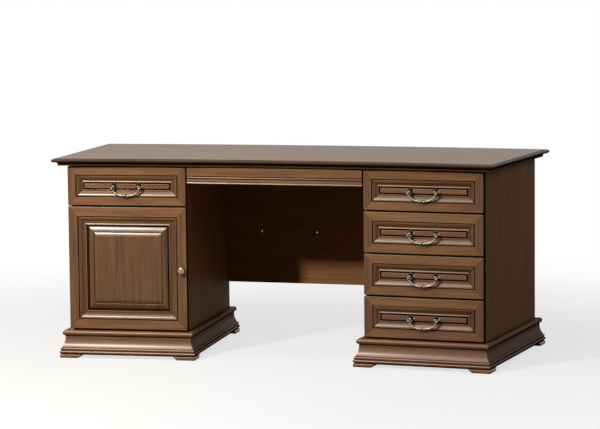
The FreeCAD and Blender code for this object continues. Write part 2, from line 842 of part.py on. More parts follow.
# Modesty panel between the pedestals' inner sides at the back, and the screws in its front face.
def build_modesty():
    rear = s.ped_depth * splay_cos - s.modesty_setback
    front = rear - s.board_thick
    base = s.modesty_rise
    half_front = knee_half + front * splay_tan
    half_rear = knee_half + rear * splay_tan
    blank = primitive("Wedge", "modesty_blank", desk_place, Xmin=-half_front, Xmax=half_front,
                      X2min=-half_rear, X2max=half_rear, Ymin=front, Ymax=rear,
                      Zmin=base, Zmax=under_top, Z2min=base, Z2max=under_top)
    screws = []
    shanks = []
    for name, side in (("left", -1), ("right", 1)):
        across = side * s.screw_spacing / 2 - s.screw_offset
        place = desk_place * shift(across, front, under_top - s.screw_drop)
        head_place = place * turn(x_axis, right_angle)
        shank_place = place * turn(x_axis, -right_angle)
        head = rod(f"modesty_{name}_head", head_place, s.screw_head_radius, s.screw_head)
        shank = rod(f"modesty_{name}_shank", shank_place, s.screw_radius, s.screw_bite)
        screws.append(fuse(f"modesty_{name}_screw", [head, shank]))
        shanks.append(shank)
    keep(cut("modesty_panel", blank, shanks))
    keep(group("modesty_screws", screws))


# Keyboard tray: fascia, shelf and slide bars move; channels on hangers carry them.
def fascia_outline():
    lip = s.edge_round
    bead = s.groove_width
    recess = s.bead_drop
    lip_top = 2 * bead
    lower_band_top = lip_top + bead / 2 + s.fascia_band
    bead_low = lower_band_top + bead
    bead_top = bead_low + s.fascia_bead
    flat_low = bead_top + bead
    return [
        (s.fascia_thick, 0),
        (lip, 0),
        (arc_middle((lip, 0), (lip, lip_top), lip), (lip, lip_top)),
        (s.groove_depth, lip_top + bead / 2),
        (recess, lip_top + bead / 2),
        (recess, lower_band_top),
        (s.groove_depth, lower_band_top + bead / 2),
        (recess, bead_low),
        (arc_middle((recess, bead_low), (recess, bead_top), recess), (recess, bead_top)),
        (s.groove_depth, bead_top + bead / 2),
        (0, flat_low),
        (0, s.fascia_height),
        (s.fascia_thick, s.fascia_height),
    ]


def build_tray():
    fascia_half = knee_half - s.tray_side_gap
    fascia_base = under_top - s.top_reveal - s.fascia_height
    face = profile_face(fascia_outline(), lambda p: vector(-fascia_half, p[0], p[1]))
    fascia = face.extrude(vector(2 * fascia_half, 0, 0))
    keep(shaped("tray_fascia", fascia, desk_place * shift(0, 0, fascia_base)))

    shelf_base = fascia_base + s.tray_rise
    keep(board("tray_shelf", desk_place, (-s.tray_half, s.fascia_thick, shelf_base),
               2 * s.tray_half, s.tray_depth, s.tray_thick))

    middle = shelf_base + s.tray_thick / 2
    slot_half = s.slide_height / 2 + s.slide_clear
    channel_half = slot_half + s.channel_wall
    web_inner = s.tray_half + s.slide_thick + s.slide_clear
    web_outer = web_inner + s.channel_wall
    channel_length = s.tray_depth - s.hanger_setback + s.fascia_thick
    hanger_base = under_top - s.hanger_drop
    bars = []
    channels = []
    hangers = []
    for name, side in (("left", -1), ("right", 1)):
        def from_centre(near, far):
            return near if side > 0 else -far

        bar_x = from_centre(s.tray_half, s.tray_half + s.slide_thick)
        bars.append(board(f"tray_{name}_bar", desk_place, (bar_x, s.fascia_thick, middle - s.slide_height / 2),
                          s.slide_thick, s.tray_depth, s.slide_height))
        channel_x = from_centre(web_outer - s.channel_depth, web_outer)
        blank = board(f"tray_{name}_channel_blank", desk_place,
                      (channel_x, s.hanger_setback, middle - channel_half),
                      s.channel_depth, channel_length, 2 * channel_half)
        hollow_x = from_centre(web_outer - s.channel_depth, web_inner)
        hollow = board(f"tray_{name}_channel_hollow", desk_place,
                       (hollow_x, s.hanger_setback, middle - slot_half),
                       s.channel_depth - s.channel_wall, channel_length, 2 * slot_half)
        channels.append(cut(f"tray_{name}_channel", blank, [hollow]))
        hanger_x = from_centre(web_outer, web_outer + s.hanger_thick)
        hangers.append(board(f"tray_{name}_hanger", desk_place, (hanger_x, s.hanger_setback, hanger_base),
                             s.hanger_thick, channel_length, s.hanger_drop))
    keep(group("tray_slides", bars))
    keep(group("tray_channels", channels))
    keep(group("tray_hangers", hangers))


def build_desk():
    build_top_fixings()
    plates = build_hinges()
    pins = build_shelf()
    build_carcass("left", left_place, {"outer": plates + pins["outer"], "inner": pins["inner"]})
    build_carcass("right", right_place, {})
    build_feet()
    build_divider()
    build_modesty()
    build_tray()
    build_door()
    build_drawers()


build_desk()
doc.recompute()

for piece in doc.Objects:
    if "Invalid" in piece.State or "Error" in piece.State:
        raise RuntimeError(f"{piece.Label} failed: {piece.State}")
for piece in nodes:
    if piece.Shape.isNull() or not piece.Shape.isValid():
        raise RuntimeError(f"{piece.Label} has no valid shape")

os.makedirs("parts", exist_ok=True)
for piece in nodes:
    piece.Shape.exportStep(f"parts/{piece.Label}.step")
print(len(nodes), "pieces written")
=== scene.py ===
import json
import math
import random
import bmesh
import bpy
from mathutils import Matrix, Vector


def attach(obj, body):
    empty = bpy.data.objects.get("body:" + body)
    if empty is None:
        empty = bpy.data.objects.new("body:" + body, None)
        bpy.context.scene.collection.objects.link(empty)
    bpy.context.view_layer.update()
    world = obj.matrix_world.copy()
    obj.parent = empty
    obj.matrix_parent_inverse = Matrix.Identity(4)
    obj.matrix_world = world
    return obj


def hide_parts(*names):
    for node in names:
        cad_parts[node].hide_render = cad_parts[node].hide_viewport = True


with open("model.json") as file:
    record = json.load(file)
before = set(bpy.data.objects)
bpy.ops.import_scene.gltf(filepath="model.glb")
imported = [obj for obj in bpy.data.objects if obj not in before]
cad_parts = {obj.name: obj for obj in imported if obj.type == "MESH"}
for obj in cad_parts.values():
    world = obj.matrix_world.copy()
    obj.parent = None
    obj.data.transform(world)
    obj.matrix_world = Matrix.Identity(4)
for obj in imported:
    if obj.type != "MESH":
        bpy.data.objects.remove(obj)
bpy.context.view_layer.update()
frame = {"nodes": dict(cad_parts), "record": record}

# Computer desk on an arc plan. Shapes are written in millimetres in the desk's own places,
# and every piece stands for the CAD node whose name it carries.
mm = 0.001
record = frame["record"]
bodyOf = {node: body for body, nodes in record["behaviour"]["bodies"].items() for node in nodes}
slotOf = {part["node"]: part["material_slot"] for part in record["subparts"]}

plan = {"splay": 4.6, "kneeHalf": 343.5, "pedWidth": 462, "pedDepth": 684,
        "sideOver": 50, "frontOver": 43, "backOver": 29, "frontBow": 58, "backBow": 50}
levels = {"underTop": 732, "topReveal": 4.5, "plinth": 104, "frontBase": 110, "pitch": 157, "reveal": 6}

splay = math.radians(plan["splay"])
cosSplay, sinSplay = math.cos(splay), math.sin(splay)
cornerOut = plan["pedWidth"] + plan["sideOver"]
frontCorner = (plan["kneeHalf"] + cornerOut * cosSplay - plan["frontOver"] * sinSplay,
               -cornerOut * sinSplay - plan["frontOver"] * cosSplay)
backReach = plan["pedDepth"] + plan["backOver"]
backCorner = (plan["kneeHalf"] + cornerOut * cosSplay + backReach * sinSplay,
              backReach * cosSplay - cornerOut * sinSplay)
planMiddle = (frontCorner[1] + backCorner[1] + plan["backBow"]) / 2


def at(x, y, z):
    return Matrix.Translation(Vector((x, y, z)) * mm)


deskPlace = at(0, -planMiddle, 0)
leftPlace = deskPlace @ at(-plan["kneeHalf"] - plan["pedWidth"] * cosSplay, -plan["pedWidth"] * sinSplay, 0)
leftPlace = leftPlace @ Matrix.Rotation(splay, 4, "Z")
rightPlace = deskPlace @ at(plan["kneeHalf"], 0, 0) @ Matrix.Rotation(-splay, 4, "Z")
pedestals = {"left": leftPlace, "right": rightPlace}


# sRGB hex to linear RGBA
def linear(hexColour):
    channels = [int(hexColour[i:i + 2], 16) / 255 for i in (1, 3, 5)]
    return [c / 12.92 if c <= 0.04045 else ((c + 0.055) / 1.055) ** 2.4 for c in channels] + [1.0]


# A setting goes to the node's own property, or else to the input of that name or number.
def addNode(tree, kind, settings=None, links=None):
    node = tree.nodes.new(kind)
    for key, value in (settings or {}).items():
        if isinstance(key, str) and hasattr(node, key):
            setattr(node, key, value)
        else:
            node.inputs[key].default_value = value
    for key, source in (links or {}).items():
        tree.links.new(source, node.inputs[key])
    return node


def newMaterial(name):
    material = bpy.data.materials.new(name)
    material.use_nodes = True
    material.node_tree.nodes.clear()
    return material, material.node_tree


# Where noise turns into pores and into roughness, and where a slope or the stain and painted shade take the
# gloss away.
woodLook = {"pores": (0.62, 0.72), "poreDrop": -0.6, "relief": 0.4, "fine": (0.3, 0.7),
            "rougher": (-0.05, 0.06), "slope": (-0.12, 0.2), "glaze": (0.6, 1.0), "coatIor": 1.5}


# Stained and lacquered wood. The grain attribute holds each board's own place in metres: along the
# grain, across it and through it. The darkening attribute is dark stain left at mitres and in quirks, and
# painted shade in quirks, grooves, reveals and under edges and lips, where shade falls; polish is how much
# of the gloss is left where a surface was not rubbed out. What faces up is rubbed most.
def makeWood(name, finish):
    material, tree = newMaterial(name)
    marks = {}
    for mark, output in (("grain", "Vector"), ("glaze", "Fac"), ("polish", "Fac")):
        marks[mark] = addNode(tree, "ShaderNodeAttribute", {"attribute_name": mark}).outputs[output]

    # Noise drawn out along the grain: name, detail, roughness, wander
    streaks = {}
    for streak, detail, roughness, wander in (("hue", 2.0, 0.5, 0.0), ("figure", 4.0, 0.6, finish["wander"]),
                                              ("fine", 3.0, 0.65, 0.0), ("pore", 2.0, 0.5, 0.0)):
        lengthMm, widthMm = finish[streak + "Mm"]
        scale = (1 / (lengthMm * mm), 1 / (widthMm * mm), 1 / (widthMm * mm))
        place = addNode(tree, "ShaderNodeVectorMath", {"operation": "MULTIPLY", 1: scale},
                        {0: marks["grain"]})
        noise = addNode(tree, "ShaderNodeTexNoise",
                        {"Scale": 1.0, "Detail": detail, "Roughness": roughness, "Distortion": wander},
                        {"Vector": place.outputs[0]})
        streaks[streak] = noise.outputs["Fac"]

    # Layers of colour over the first stain: streak, the values it comes in between, strength, colour
    layers = (("hue", 0.36, 0.64, 1.0, "olive"),
              ("figure", 0.5, 0.78, finish["figureDepth"], "dark"),
              ("figure", 0.5, 0.25, finish["figureDepth"], "light"),
              ("fine", 0.45, 0.75, finish["fineDepth"], "dark"),
              ("pore", *woodLook["pores"], finish["poreDepth"], "pore"))
    stain = None  # the first layer lies on the red itself
    for streak, low, high, depth, tone in layers:
        share = addNode(tree, "ShaderNodeMapRange", {"From Min": low, "From Max": high, "To Max": depth},
                        {"Value": streaks[streak]})
        links = {0: share.outputs["Result"]}
        if stain is not None:
            links[6] = stain
        layer = addNode(tree, "ShaderNodeMix",
                        {"data_type": "RGBA", 6: linear(finish["red"]), 7: linear(finish[tone])}, links)
        stain = layer.outputs[2]
    # Toward the dark colour where stain was left and where shade is painted in
    colour = addNode(tree, "ShaderNodeMix", {"data_type": "RGBA", 7: linear(finish["glaze"])},
                     {0: marks["glaze"], 6: stain})

    # Fine streaks are rougher, and open pores lie lower than the wood between them
    low, high = woodLook["fine"]
    smoother, rougher = woodLook["rougher"]
    rough = addNode(tree, "ShaderNodeMapRange",
                    {"From Min": low, "From Max": high, "To Min": finish["roughness"] + smoother,
                     "To Max": finish["roughness"] + rougher}, {"Value": streaks["fine"]})
    low, high = woodLook["pores"]
    openPores = addNode(tree, "ShaderNodeMapRange", {"From Min": low, "From Max": high},
                        {"Value": streaks["pore"]})
    height = addNode(tree, "ShaderNodeMath", {"operation": "MULTIPLY_ADD", 1: woodLook["poreDrop"]},
                     {0: openPores.outputs["Result"], 2: streaks["fine"]})
    bump = addNode(tree, "ShaderNodeBump", {"Strength": finish["bump"], "Distance": woodLook["relief"] * mm},
                   {"Height": height.outputs[0]})

    # Gloss goes with polish, with facing up and with the lack of glaze
    normal = addNode(tree, "ShaderNodeNewGeometry").outputs["Normal"]
    facing = addNode(tree, "ShaderNodeSeparateXYZ", links={0: normal}).outputs["Z"]
    low, high = woodLook["slope"]
    upward = addNode(tree, "ShaderNodeMapRange", {"From Min": low, "From Max": high}, {"Value": facing})
    low, high = woodLook["glaze"]
    clean = addNode(tree, "ShaderNodeMapRange",
                    {"From Min": low, "From Max": high, "To Min": 1.0, "To Max": 0.0},
                    {"Value": marks["glaze"]})
    rubbed = marks["polish"]
    for share in (upward, clean):
        rubbed = addNode(tree, "ShaderNodeMath", {"operation": "MULTIPLY"},
                         {0: rubbed, 1: share.outputs["Result"]}).outputs[0]
    settings = {"Coat Roughness": finish["coatRoughness"], "Coat IOR": woodLook["coatIor"]}
    links = {"Base Color": colour.outputs[2], "Roughness": rough.outputs["Result"], "Normal": bump.outputs[0]}
    for socket, amount in (("Specular IOR Level", finish["specular"]), ("Coat Weight", finish["coat"])):
        if amount:
            links[socket] = addNode(tree, "ShaderNodeMath", {"operation": "MULTIPLY", 1: amount},
                                    {0: rubbed}).outputs[0]
        else:
            settings[socket] = 0.0  # none anywhere on this finish
    shader = addNode(tree, "ShaderNodeBsdfPrincipled", settings, links)
    addNode(tree, "ShaderNodeOutputMaterial", links={"Surface": shader.outputs[0]})
    return material


# Walnut-stained fronts: sanded, stained, glazed in the quirks and sprayed with satin lacquer, so the
# grain shows softly through a low sheen and every rounded edge takes a pale line of light. The dark
# glaze colour is also the colour of the painted shade in quirks, gaps and recesses.
# Pores and fine streaks are drawn about three times as wide as real ones, so that they show.
frontFinish = {"red": "#8A5D42", "olive": "#8B6743", "dark": "#5E4029", "light": "#A57951", "pore": "#3A2417",
               "glaze": "#140B05", "hueMm": (420, 55), "figureMm": (330, 16), "fineMm": (110, 3.2),
               "poreMm": (13, 0.8), "figureDepth": 0.75, "fineDepth": 0.5, "poreDepth": 0.45, "wander": 0.5,
               "roughness": 0.5, "bump": 0.2, "specular": 0.1, "coat": 1.0, "coatRoughness": 0.28}
# Walnut veneer on sides and backs: straight grain, pressed flat and left without the last coat, so matt.
sideFinish = dict(frontFinish, red="#A4704D", olive="#A57C4F", dark="#744F2E", light="#B38559",
                  figureMm=(600, 11), fineMm=(160, 2.4), wander=0.2, figureDepth=0.6, bump=0.15,
                  specular=0.02, coat=0.0)
# Polished top: the same stain, filled and rubbed to a gloss that mirrors the room at low angles.
topFinish = dict(frontFinish, red="#805A3A", olive="#82623C", dark="#5C4127", light="#916D46",
                 glaze="#2A1B17", hueMm=(700, 90), figureMm=(520, 22), specular=0.0, roughness=0.3,
                 bump=0.04, coat=0.31, coatRoughness=0.06)
# Clear-lacquered beech of the drawer boxes and runners: pale, short flecks, matt. Its dark colour is
# used only for painted shade in the runner slots.
boxFinish = dict(frontFinish, red="#C29A6C", olive="#BF9C70", dark="#A47E54", light="#D3B084", pore="#8E6B45",
                 glaze="#5A3D22", figureMm=(260, 14), poreMm=(4, 0.7), poreDepth=0.55, figureDepth=0.5,
                 fineDepth=0.3, bump=0.12, coat=0.05)
materials = {"stained_walnut": makeWood("stainedWalnutSatin", frontFinish),
             "walnut_veneer": makeWood("walnutVeneerSatin", sideFinish),
             "polished_walnut": makeWood("walnutTopGloss", topFinish),
             "drawer_wood": makeWood("clearBeech", boxFinish)}

# How far mottling moves the patina, how much rougher patina is, and the depth of the casting in millimetres.
metalLook = {"mottling": (0.7, -0.35), "rougher": 0.3, "relief": 0.3}


# Aged metal. The darkening attribute is the dark patina left in the hollows, and on the bail also painted
# shade on its underside; what stands out is rubbed. The patina comes and goes with the mottling, and the
# casting shows as a faint unevenness.
def makeAgedMetal(name, finish):
    material, tree = newMaterial(name)
    glaze = addNode(tree, "ShaderNodeAttribute", {"attribute_name": "glaze"}).outputs["Fac"]
    place = addNode(tree, "ShaderNodeTexCoord").outputs["Object"]
    mottle = addNode(tree, "ShaderNodeTexNoise", {"Scale": 1 / (finish["mottleMm"] * mm), "Detail": 4.0},
                     {"Vector": place})
    casting = addNode(tree, "ShaderNodeTexNoise", {"Scale": 1 / (finish["castMm"] * mm), "Detail": 2.0},
                      {"Vector": place})
    gain, shift = metalLook["mottling"]
    uneven = addNode(tree, "ShaderNodeMath", {"operation": "MULTIPLY_ADD", 1: gain, 2: shift},
                     {0: mottle.outputs["Fac"]})
    patina = addNode(tree, "ShaderNodeMath", {"operation": "ADD", "use_clamp": True},
                     {0: glaze, 1: uneven.outputs[0]})
    colour = addNode(tree, "ShaderNodeMix", {"data_type": "RGBA", 6: linear(finish["rubbed"]),
                                             7: linear(finish["patina"])}, {0: patina.outputs[0]})
    rough = addNode(tree, "ShaderNodeMapRange",
                    {"To Min": finish["roughness"], "To Max": finish["roughness"] + metalLook["rougher"]},
                    {"Value": patina.outputs[0]})
    bump = addNode(tree, "ShaderNodeBump", {"Strength": finish["bump"], "Distance": metalLook["relief"] * mm},
                   {"Height": casting.outputs["Fac"]})
    shader = addNode(tree, "ShaderNodeBsdfPrincipled", {"Metallic": 1.0},
                     {"Base Color": colour.outputs[2], "Roughness": rough.outputs[0],
                      "Normal": bump.outputs[0]})
    addNode(tree, "ShaderNodeOutputMaterial", links={"Surface": shader.outputs[0]})
    return material


# Bronze pulls: cast, blackened and rubbed back, so the high parts shine over black hollows.
bronzeFinish = {"rubbed": "#B5A28C", "patina": "#120B07", "mottleMm": 6, "castMm": 1.5,
                "roughness": 0.26, "bump": 0.25}
# Brass knob: turned, aged to a soft gold.
brassFinish = {"rubbed": "#A78B6A", "patina": "#4A3526", "mottleMm": 9, "castMm": 1.2,
               "roughness": 0.24, "bump": 0.12}
# Zinc-plated steel of screws, pins and channels: bluish grey, lightly spangled.
zincFinish = {"rubbed": "#BFC1C0", "patina": "#7F8283", "mottleMm": 4, "castMm": 0.8,
              "roughness": 0.3, "bump": 0.1}
materials["antique_bronze"] = makeAgedMetal("rubbedBronze", bronzeFinish)
materials["antique_brass"] = makeAgedMetal("agedBrass", brassFinish)
materials["zinc_steel"] = makeAgedMetal("zincPlatedSteel", zincFinish)
print("materials:", len(materials))

# A shape gathers vertices, faces and three attributes of its points, and then becomes a piece.
draw = random.Random(7)  # the same boards on every run
logSize = 9  # metres
pointMarks = ("grain", "glaze", "polish")


def newShape():
    return {"verts": [], "faces": [], "grain": [], "glaze": [], "polish": []}


# Each board is cut from its own place in the log
def boardOffset():
    return Vector([draw.uniform(0, logSize) for _ in range(3)])


# Skin over loops of equally many points, closed at both ends.
def addLoops(shape, loops, glazeAndShadeRows, grains=None, polishes=None):
    start = len(shape["verts"])
    size = len(loops[0])
    grains = grains or [[Vector(p) * mm for p in loop] for loop in loops]
    polishes = polishes or [[1.0] * size] * len(loops)
    for loop, grain, glaze, polish in zip(loops, grains, glazeAndShadeRows, polishes):
        shape["verts"] += loop
        shape["grain"] += grain
        shape["glaze"] += glaze
        shape["polish"] += polish
    for row in range(len(loops) - 1):
        base = start + row * size
        for i in range(size):
            j = (i + 1) % size
            shape["faces"].append((base + i, base + j, base + size + j, base + size + i))
    shape["faces"].append(tuple(range(start + size - 1, start - 1, -1)))
    last = start + (len(loops) - 1) * size
    shape["faces"].append(tuple(range(last, last + size)))


# Points in millimetres, moved by a matrix that is in metres.
def moved(points, move):
    return [tuple((move @ (Vector(p) * mm)) / mm) for p in points]


def joinShape(shape, part, move):
    start = len(shape["verts"])
    shape["verts"] += moved(part["verts"], move)
    shape["faces"] += [tuple(start + i for i in face) for face in part["faces"]]
    for mark in pointMarks:
        shape[mark] += part[mark]


def pieceName(node):
    first, *rest = node.split("_")
    return first + "".join(word.capitalize() for word in rest)


def makePiece(shape, node, place, smoothDegrees=32):
    mesh = bpy.data.meshes.new(pieceName(node))
    mesh.from_pydata([place @ (Vector(v) * mm) for v in shape["verts"]], [], shape["faces"])
    tidy = bmesh.new()
    tidy.from_mesh(mesh)
    bmesh.ops.recalc_face_normals(tidy, faces=tidy.faces)
    tidy.to_mesh(mesh)
    tidy.free()
    grain = mesh.attributes.new("grain", "FLOAT_VECTOR", "POINT")
    grain.data.foreach_set("vector", [c for g in shape["grain"] for c in g])
    for mark in ("glaze", "polish"):
        mesh.attributes.new(mark, "FLOAT", "POINT").data.foreach_set("value", shape[mark])
    mesh.shade_smooth()
    mesh.set_sharp_from_angle(angle=math.radians(smoothDegrees))
    piece = bpy.data.objects.new(mesh.name, mesh)
    bpy.context.scene.collection.objects.link(piece)
    mesh.materials.append(materials[slotOf[node]])
    piece.modifiers.new("evenShading", "WEIGHTED_NORMAL").keep_sharp = True  # flats stay flat by round edges
    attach(piece, bodyOf[node])
    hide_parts(node)


# Points of an arc from start to end over a chord, bulging to the left by sag.
def arcPoints(start, end, sag, count):
    a, b = Vector(start[:2]), Vector(end[:2])
    chord = b - a
    normal = Vector((-chord.y, chord.x)).normalized()
    radius = (chord.length ** 2 / 4 + sag * sag) / (2 * abs(sag))
    side = math.copysign(1, sag)
    centre = (a + b) / 2 + normal * side * (abs(sag) - radius)
    fromAngle = math.atan2(a.y - centre.y, a.x - centre.x)
    turn = 2 * math.asin(min(1, chord.length / 2 / radius))
    if abs(sag) > radius:
        turn = 2 * math.pi - turn
    return [(centre.x + radius * math.cos(fromAngle - side * turn * i / count),
             centre.y + radius * math.sin(fromAngle - side * turn * i / count)) for i in range(1, count)]


# A profile is a list of points (across, depth, glaze and painted shade, polish), with full polish where none
# is given. An arc is written (sag, count) before the point that it ends at.
def profilePoints(steps):
    points = []
    pending = None
    for step in steps:
        if len(step) == 2:
            pending = step
            continue
        point = step if len(step) == 4 else (*step, 1.0)
        if pending:
            last = points[-1]
            curve = arcPoints(last, point, *pending)
            for i, place in enumerate(curve, start=1):
                share = i / (len(curve) + 1)
                points.append((*place, *(a + (b - a) * share for a, b in zip(last[2:], point[2:]))))
            pending = None
        points.append(point)
    return points


# A block from its eight corners, with eased edges. Its grain runs along the given local axis.
def addBlock(shape, corners, ease, axis, segments=2):
    block = bmesh.new()
    verts = [block.verts.new(c) for c in corners]
    for quad in ((0, 3, 2, 1), (4, 5, 6, 7), (0, 1, 5, 4), (1, 2, 6, 5), (2, 3, 7, 6), (3, 0, 4, 7)):
        block.faces.new([verts[i] for i in quad])
    bmesh.ops.bevel(block, geom=block.edges[:], offset=ease, segments=segments, affect="EDGES", profile=0.5)
    block.verts.index_update()
    offset = boardOffset()
    start = len(shape["verts"])
    order = [axis, (axis + 1) % 3, (axis + 2) % 3]
    for v in block.verts:
        shape["verts"].append(tuple(v.co))
        shape["grain"].append(offset + Vector([v.co[k] for k in order]) * mm)
        shape["glaze"].append(0.0)
        shape["polish"].append(1.0)
    for f in block.faces:
        shape["faces"].append(tuple(start + v.index for v in f.verts))
    block.free()


def addBoard(shape, corner, size, ease, axis):
    x, y, z = corner
    u, v, w = x + size[0], y + size[1], z + size[2]
    corners = [(x, y, z), (u, y, z), (u, v, z), (x, v, z), (x, y, w), (u, y, w), (u, v, w), (x, v, w)]
    addBlock(shape, corners, ease, axis)


# A profile run straight from one end to the other, with a band at each end that takes the glaze.
endBand = 1


def addExtrusion(shape, profile, start, end, toLocal, glazedEnds=0.0):
    offset = boardOffset()
    loops, grains, glazeAndShadeRows = [], [], []
    for along, extra in ((start, glazedEnds), (start + endBand, 0), (end - endBand, 0), (end, glazedEnds)):
        loops.append([toLocal(along, p[0], p[1]) for p in profile])
        grains.append([offset + Vector((along, p[0], p[1])) * mm for p in profile])
        glazeAndShadeRows.append([min(1, p[2] + extra) for p in profile])
    addLoops(shape, loops, glazeAndShadeRows, grains, [[p[3] for p in profile]] * len(loops))


# Four mitred members of one profile round a rectangle, each with its own grain and a glazed mitre line.
def addMitredRing(shape, profile, width, height, toLocal, mitre, polish=(1, 1, 1, 1)):
    for side in range(4):
        length = width if side % 2 == 0 else height
        offset = boardOffset()
        shade = mitre["upright"] * (side % 2)  # uprights are drawn darker
        loops, grains, glazeAndShadeRows = [], [], []
        for fromEnd, isNear, dark in ((mitre["gap"], True, mitre["glaze"]), (mitre["band"], True, 0.0),
                                      (mitre["band"], False, 0.0), (mitre["gap"], False, mitre["glaze"])):
            loop, grain = [], []
            for d, depth, *_ in profile:
                along = d + fromEnd if isNear else length - d - fromEnd
                places = [(along, d), (width - d, along), (width - along, height - d), (d, height - along)]
                loop.append(toLocal(*places[side], depth))
                grain.append(offset + Vector((along, d, depth)) * mm)
            loops.append(loop)
            grains.append(grain)
            glazeAndShadeRows.append([min(1, p[2] + dark + shade) for p in profile])
        addLoops(shape, loops, glazeAndShadeRows, grains, [[p[3] * polish[side] for p in profile]] * len(loops))


# Desktop: one profile of (inset, height, glaze and painted shade) carried round two arcs and two straight
# ends. The step, the nose, the cove and the underside are darkened as painted shade.
topEdge = {"frontSteps": 72, "backSteps": 72, "sideSteps": 14,
           "profile": [(150, 760, 0), (12.2, 760, 0), (11.4, 760, 0.1), (11, 759.6, 0.5), (11, 758.5, 0.9),
                       (10.2, 758.5, 0.8), (8.4, 758.5, 0.55), (6.5, 758.5, 0.5), (-6.5, 12),
                       (6.5, 745.5, 0.9), (7.5, 745.5, 1), (3, 8), (20, 738, 0.9), (20.2, 737.6, 0.6),
                       (20.4, 737.2, 0.45), (20.4, 733.2, 0.45), (20.8, 732.4, 0.8), (21.3, 732, 0.9),
                       (150, 732, 0.6)]}


# Radius and middle of the arc through a corner and its mirror image.
def arcOf(corner, bow):
    radius = (corner[0] ** 2 + bow ** 2) / (2 * bow)
    return radius, corner[1] + bow - radius


def buildDesktop():
    shape = newShape()
    offset = boardOffset()
    frontRadius, frontCentre = arcOf(frontCorner, plan["frontBow"])
    backRadius, backCentre = arcOf(backCorner, plan["backBow"])
    edge = Vector((backCorner[0] - frontCorner[0], backCorner[1] - frontCorner[1])).normalized()
    outward = Vector((edge.y, -edge.x))

    # Where the right end, moved in by inset, meets an arc of the given radius.
    def meet(inset, radius, centreY):
        start = Vector(frontCorner) - outward * inset - Vector((0, centreY))
        along = start.dot(edge)
        run = -along + math.sqrt(along * along - start.length_squared + radius * radius)
        return start + edge * run + Vector((0, centreY))

    loops, grains, glazeAndShadeRows = [], [], []
    for inset, z, glaze, _ in profilePoints(topEdge["profile"]):
        near, far = frontRadius + inset, backRadius - inset
        low = meet(inset, near, frontCentre)
        high = meet(inset, far, backCentre)
        lowAngle = math.asin(low.x / near)
        highAngle = math.asin(high.x / far)
        ring = []
        for i in range(topEdge["frontSteps"]):
            turn = lowAngle * (2 * i / topEdge["frontSteps"] - 1)
            ring.append((near * math.sin(turn), frontCentre + near * math.cos(turn)))
        for i in range(topEdge["sideSteps"]):
            ring.append(tuple(low.lerp(high, i / topEdge["sideSteps"])))
        for i in range(topEdge["backSteps"]):
            turn = highAngle * (1 - 2 * i / topEdge["backSteps"])
            ring.append((far * math.sin(turn), backCentre + far * math.cos(turn)))
        for i in range(topEdge["sideSteps"]):
            point = high.lerp(low, i / topEdge["sideSteps"])
            ring.append((-point.x, point.y))
        loops.append([(x, y, z) for x, y in ring])
        grains.append([offset + Vector((x, y, z)) * mm for x, y in ring])
        glazeAndShadeRows.append([glaze] * len(ring))
    addLoops(shape, loops, glazeAndShadeRows, grains)
    makePiece(shape, "desktop", deskPlace)


buildDesktop()
print("desktop done")

# Carcasses, plinths and feet. Along the plinth's profile, depth goes down from the plinth's top.
carcass = {"wall": 18, "front": 24, "back": 9, "rail": 80, "ease": 0.8, "railEase": 0.6}
# Painted shade darkens the plinth's top where it runs under the fronts, its quirks and its foot.
plinth = {"reach": 34, "mitre": {"gap": 0.1, "band": 0.9, "glaze": 0.55, "upright": 0.1},
          "polish": (1, 0.1, 0.1, 0.1),
          "profile": [(62, 90.6, 0.2), (62, 0, 0.4), (33, 0, 1), (30, 0, 0.5, 0.2), (24, 0, 0.1, 0.2),
                      (17, 0, 0, 0.4), (6.2, 12), (17, 19.4, 0.1), (18, 19.8, 1), (19.5, 20.4, 1),
                      (19.5, 22, 1), (19.3, 23.2, 0.2), (-3.2, 14), (9.3, 62.4, 0, 0.65), (9, 63, 0.3),
                      (9, 64.6, 1), (8.6, 65, 1), (7.6, 65, 0.5), (7, 65.2, 0), (2.6, 10), (5.2, 73, 0),
                      (5, 73.6, 0.9), (5, 75.4, 1), (4.9, 76, 1), (4.6, 76, 0.5), (4.4, 76.2, 0), (4.2, 12),
                      (4.4, 87, 0), (4.5, 87.5, 0.6), (5, 88.6, 0.9), (5, 90.6, 0.9)]}
feet = {"height": 13.4, "length": 87, "slant": 17, "setBack": 0.5, "ease": 3.2, "segments": 3}
shelf = {"base": 340, "play": 1, "setBack": 20, "ease": 1.0}

wall = carcass["wall"]
innerWidth = plan["pedWidth"] - 2 * wall
innerBack = plan["pedDepth"] - carcass["back"]
innerDepth = innerBack - carcass["front"]


def buildCarcass(name, place):
    front, low = carcass["front"], levels["plinth"]
    height = levels["underTop"] - low
    sides = ("outer", "inner") if name == "left" else ("inner", "outer")
    boards = {f"{side}_side": ((x, front, low), (wall, plan["pedDepth"] - front, height), 2)
              for side, x in zip(sides, (0, plan["pedWidth"] - wall))}
    boards["bottom"] = ((wall, front, low), (innerWidth, innerDepth, wall), 0)
    boards["back"] = ((wall, innerBack, low), (innerWidth, carcass["back"], height), 2)
    for part, (corner, size, axis) in boards.items():
        shape = newShape()
        addBoard(shape, corner, size, carcass["ease"], axis)
        makePiece(shape, f"{name}_{part}", place)

    shape = newShape()
    reach = plinth["reach"]
    addMitredRing(shape, profilePoints(plinth["profile"]),
                  plan["pedWidth"] + 2 * reach, plan["pedDepth"] + 2 * reach,
                  lambda a, b, d: (a - reach, b - reach, low - d), plinth["mitre"], plinth["polish"])
    makePiece(shape, f"{name}_plinth", place)


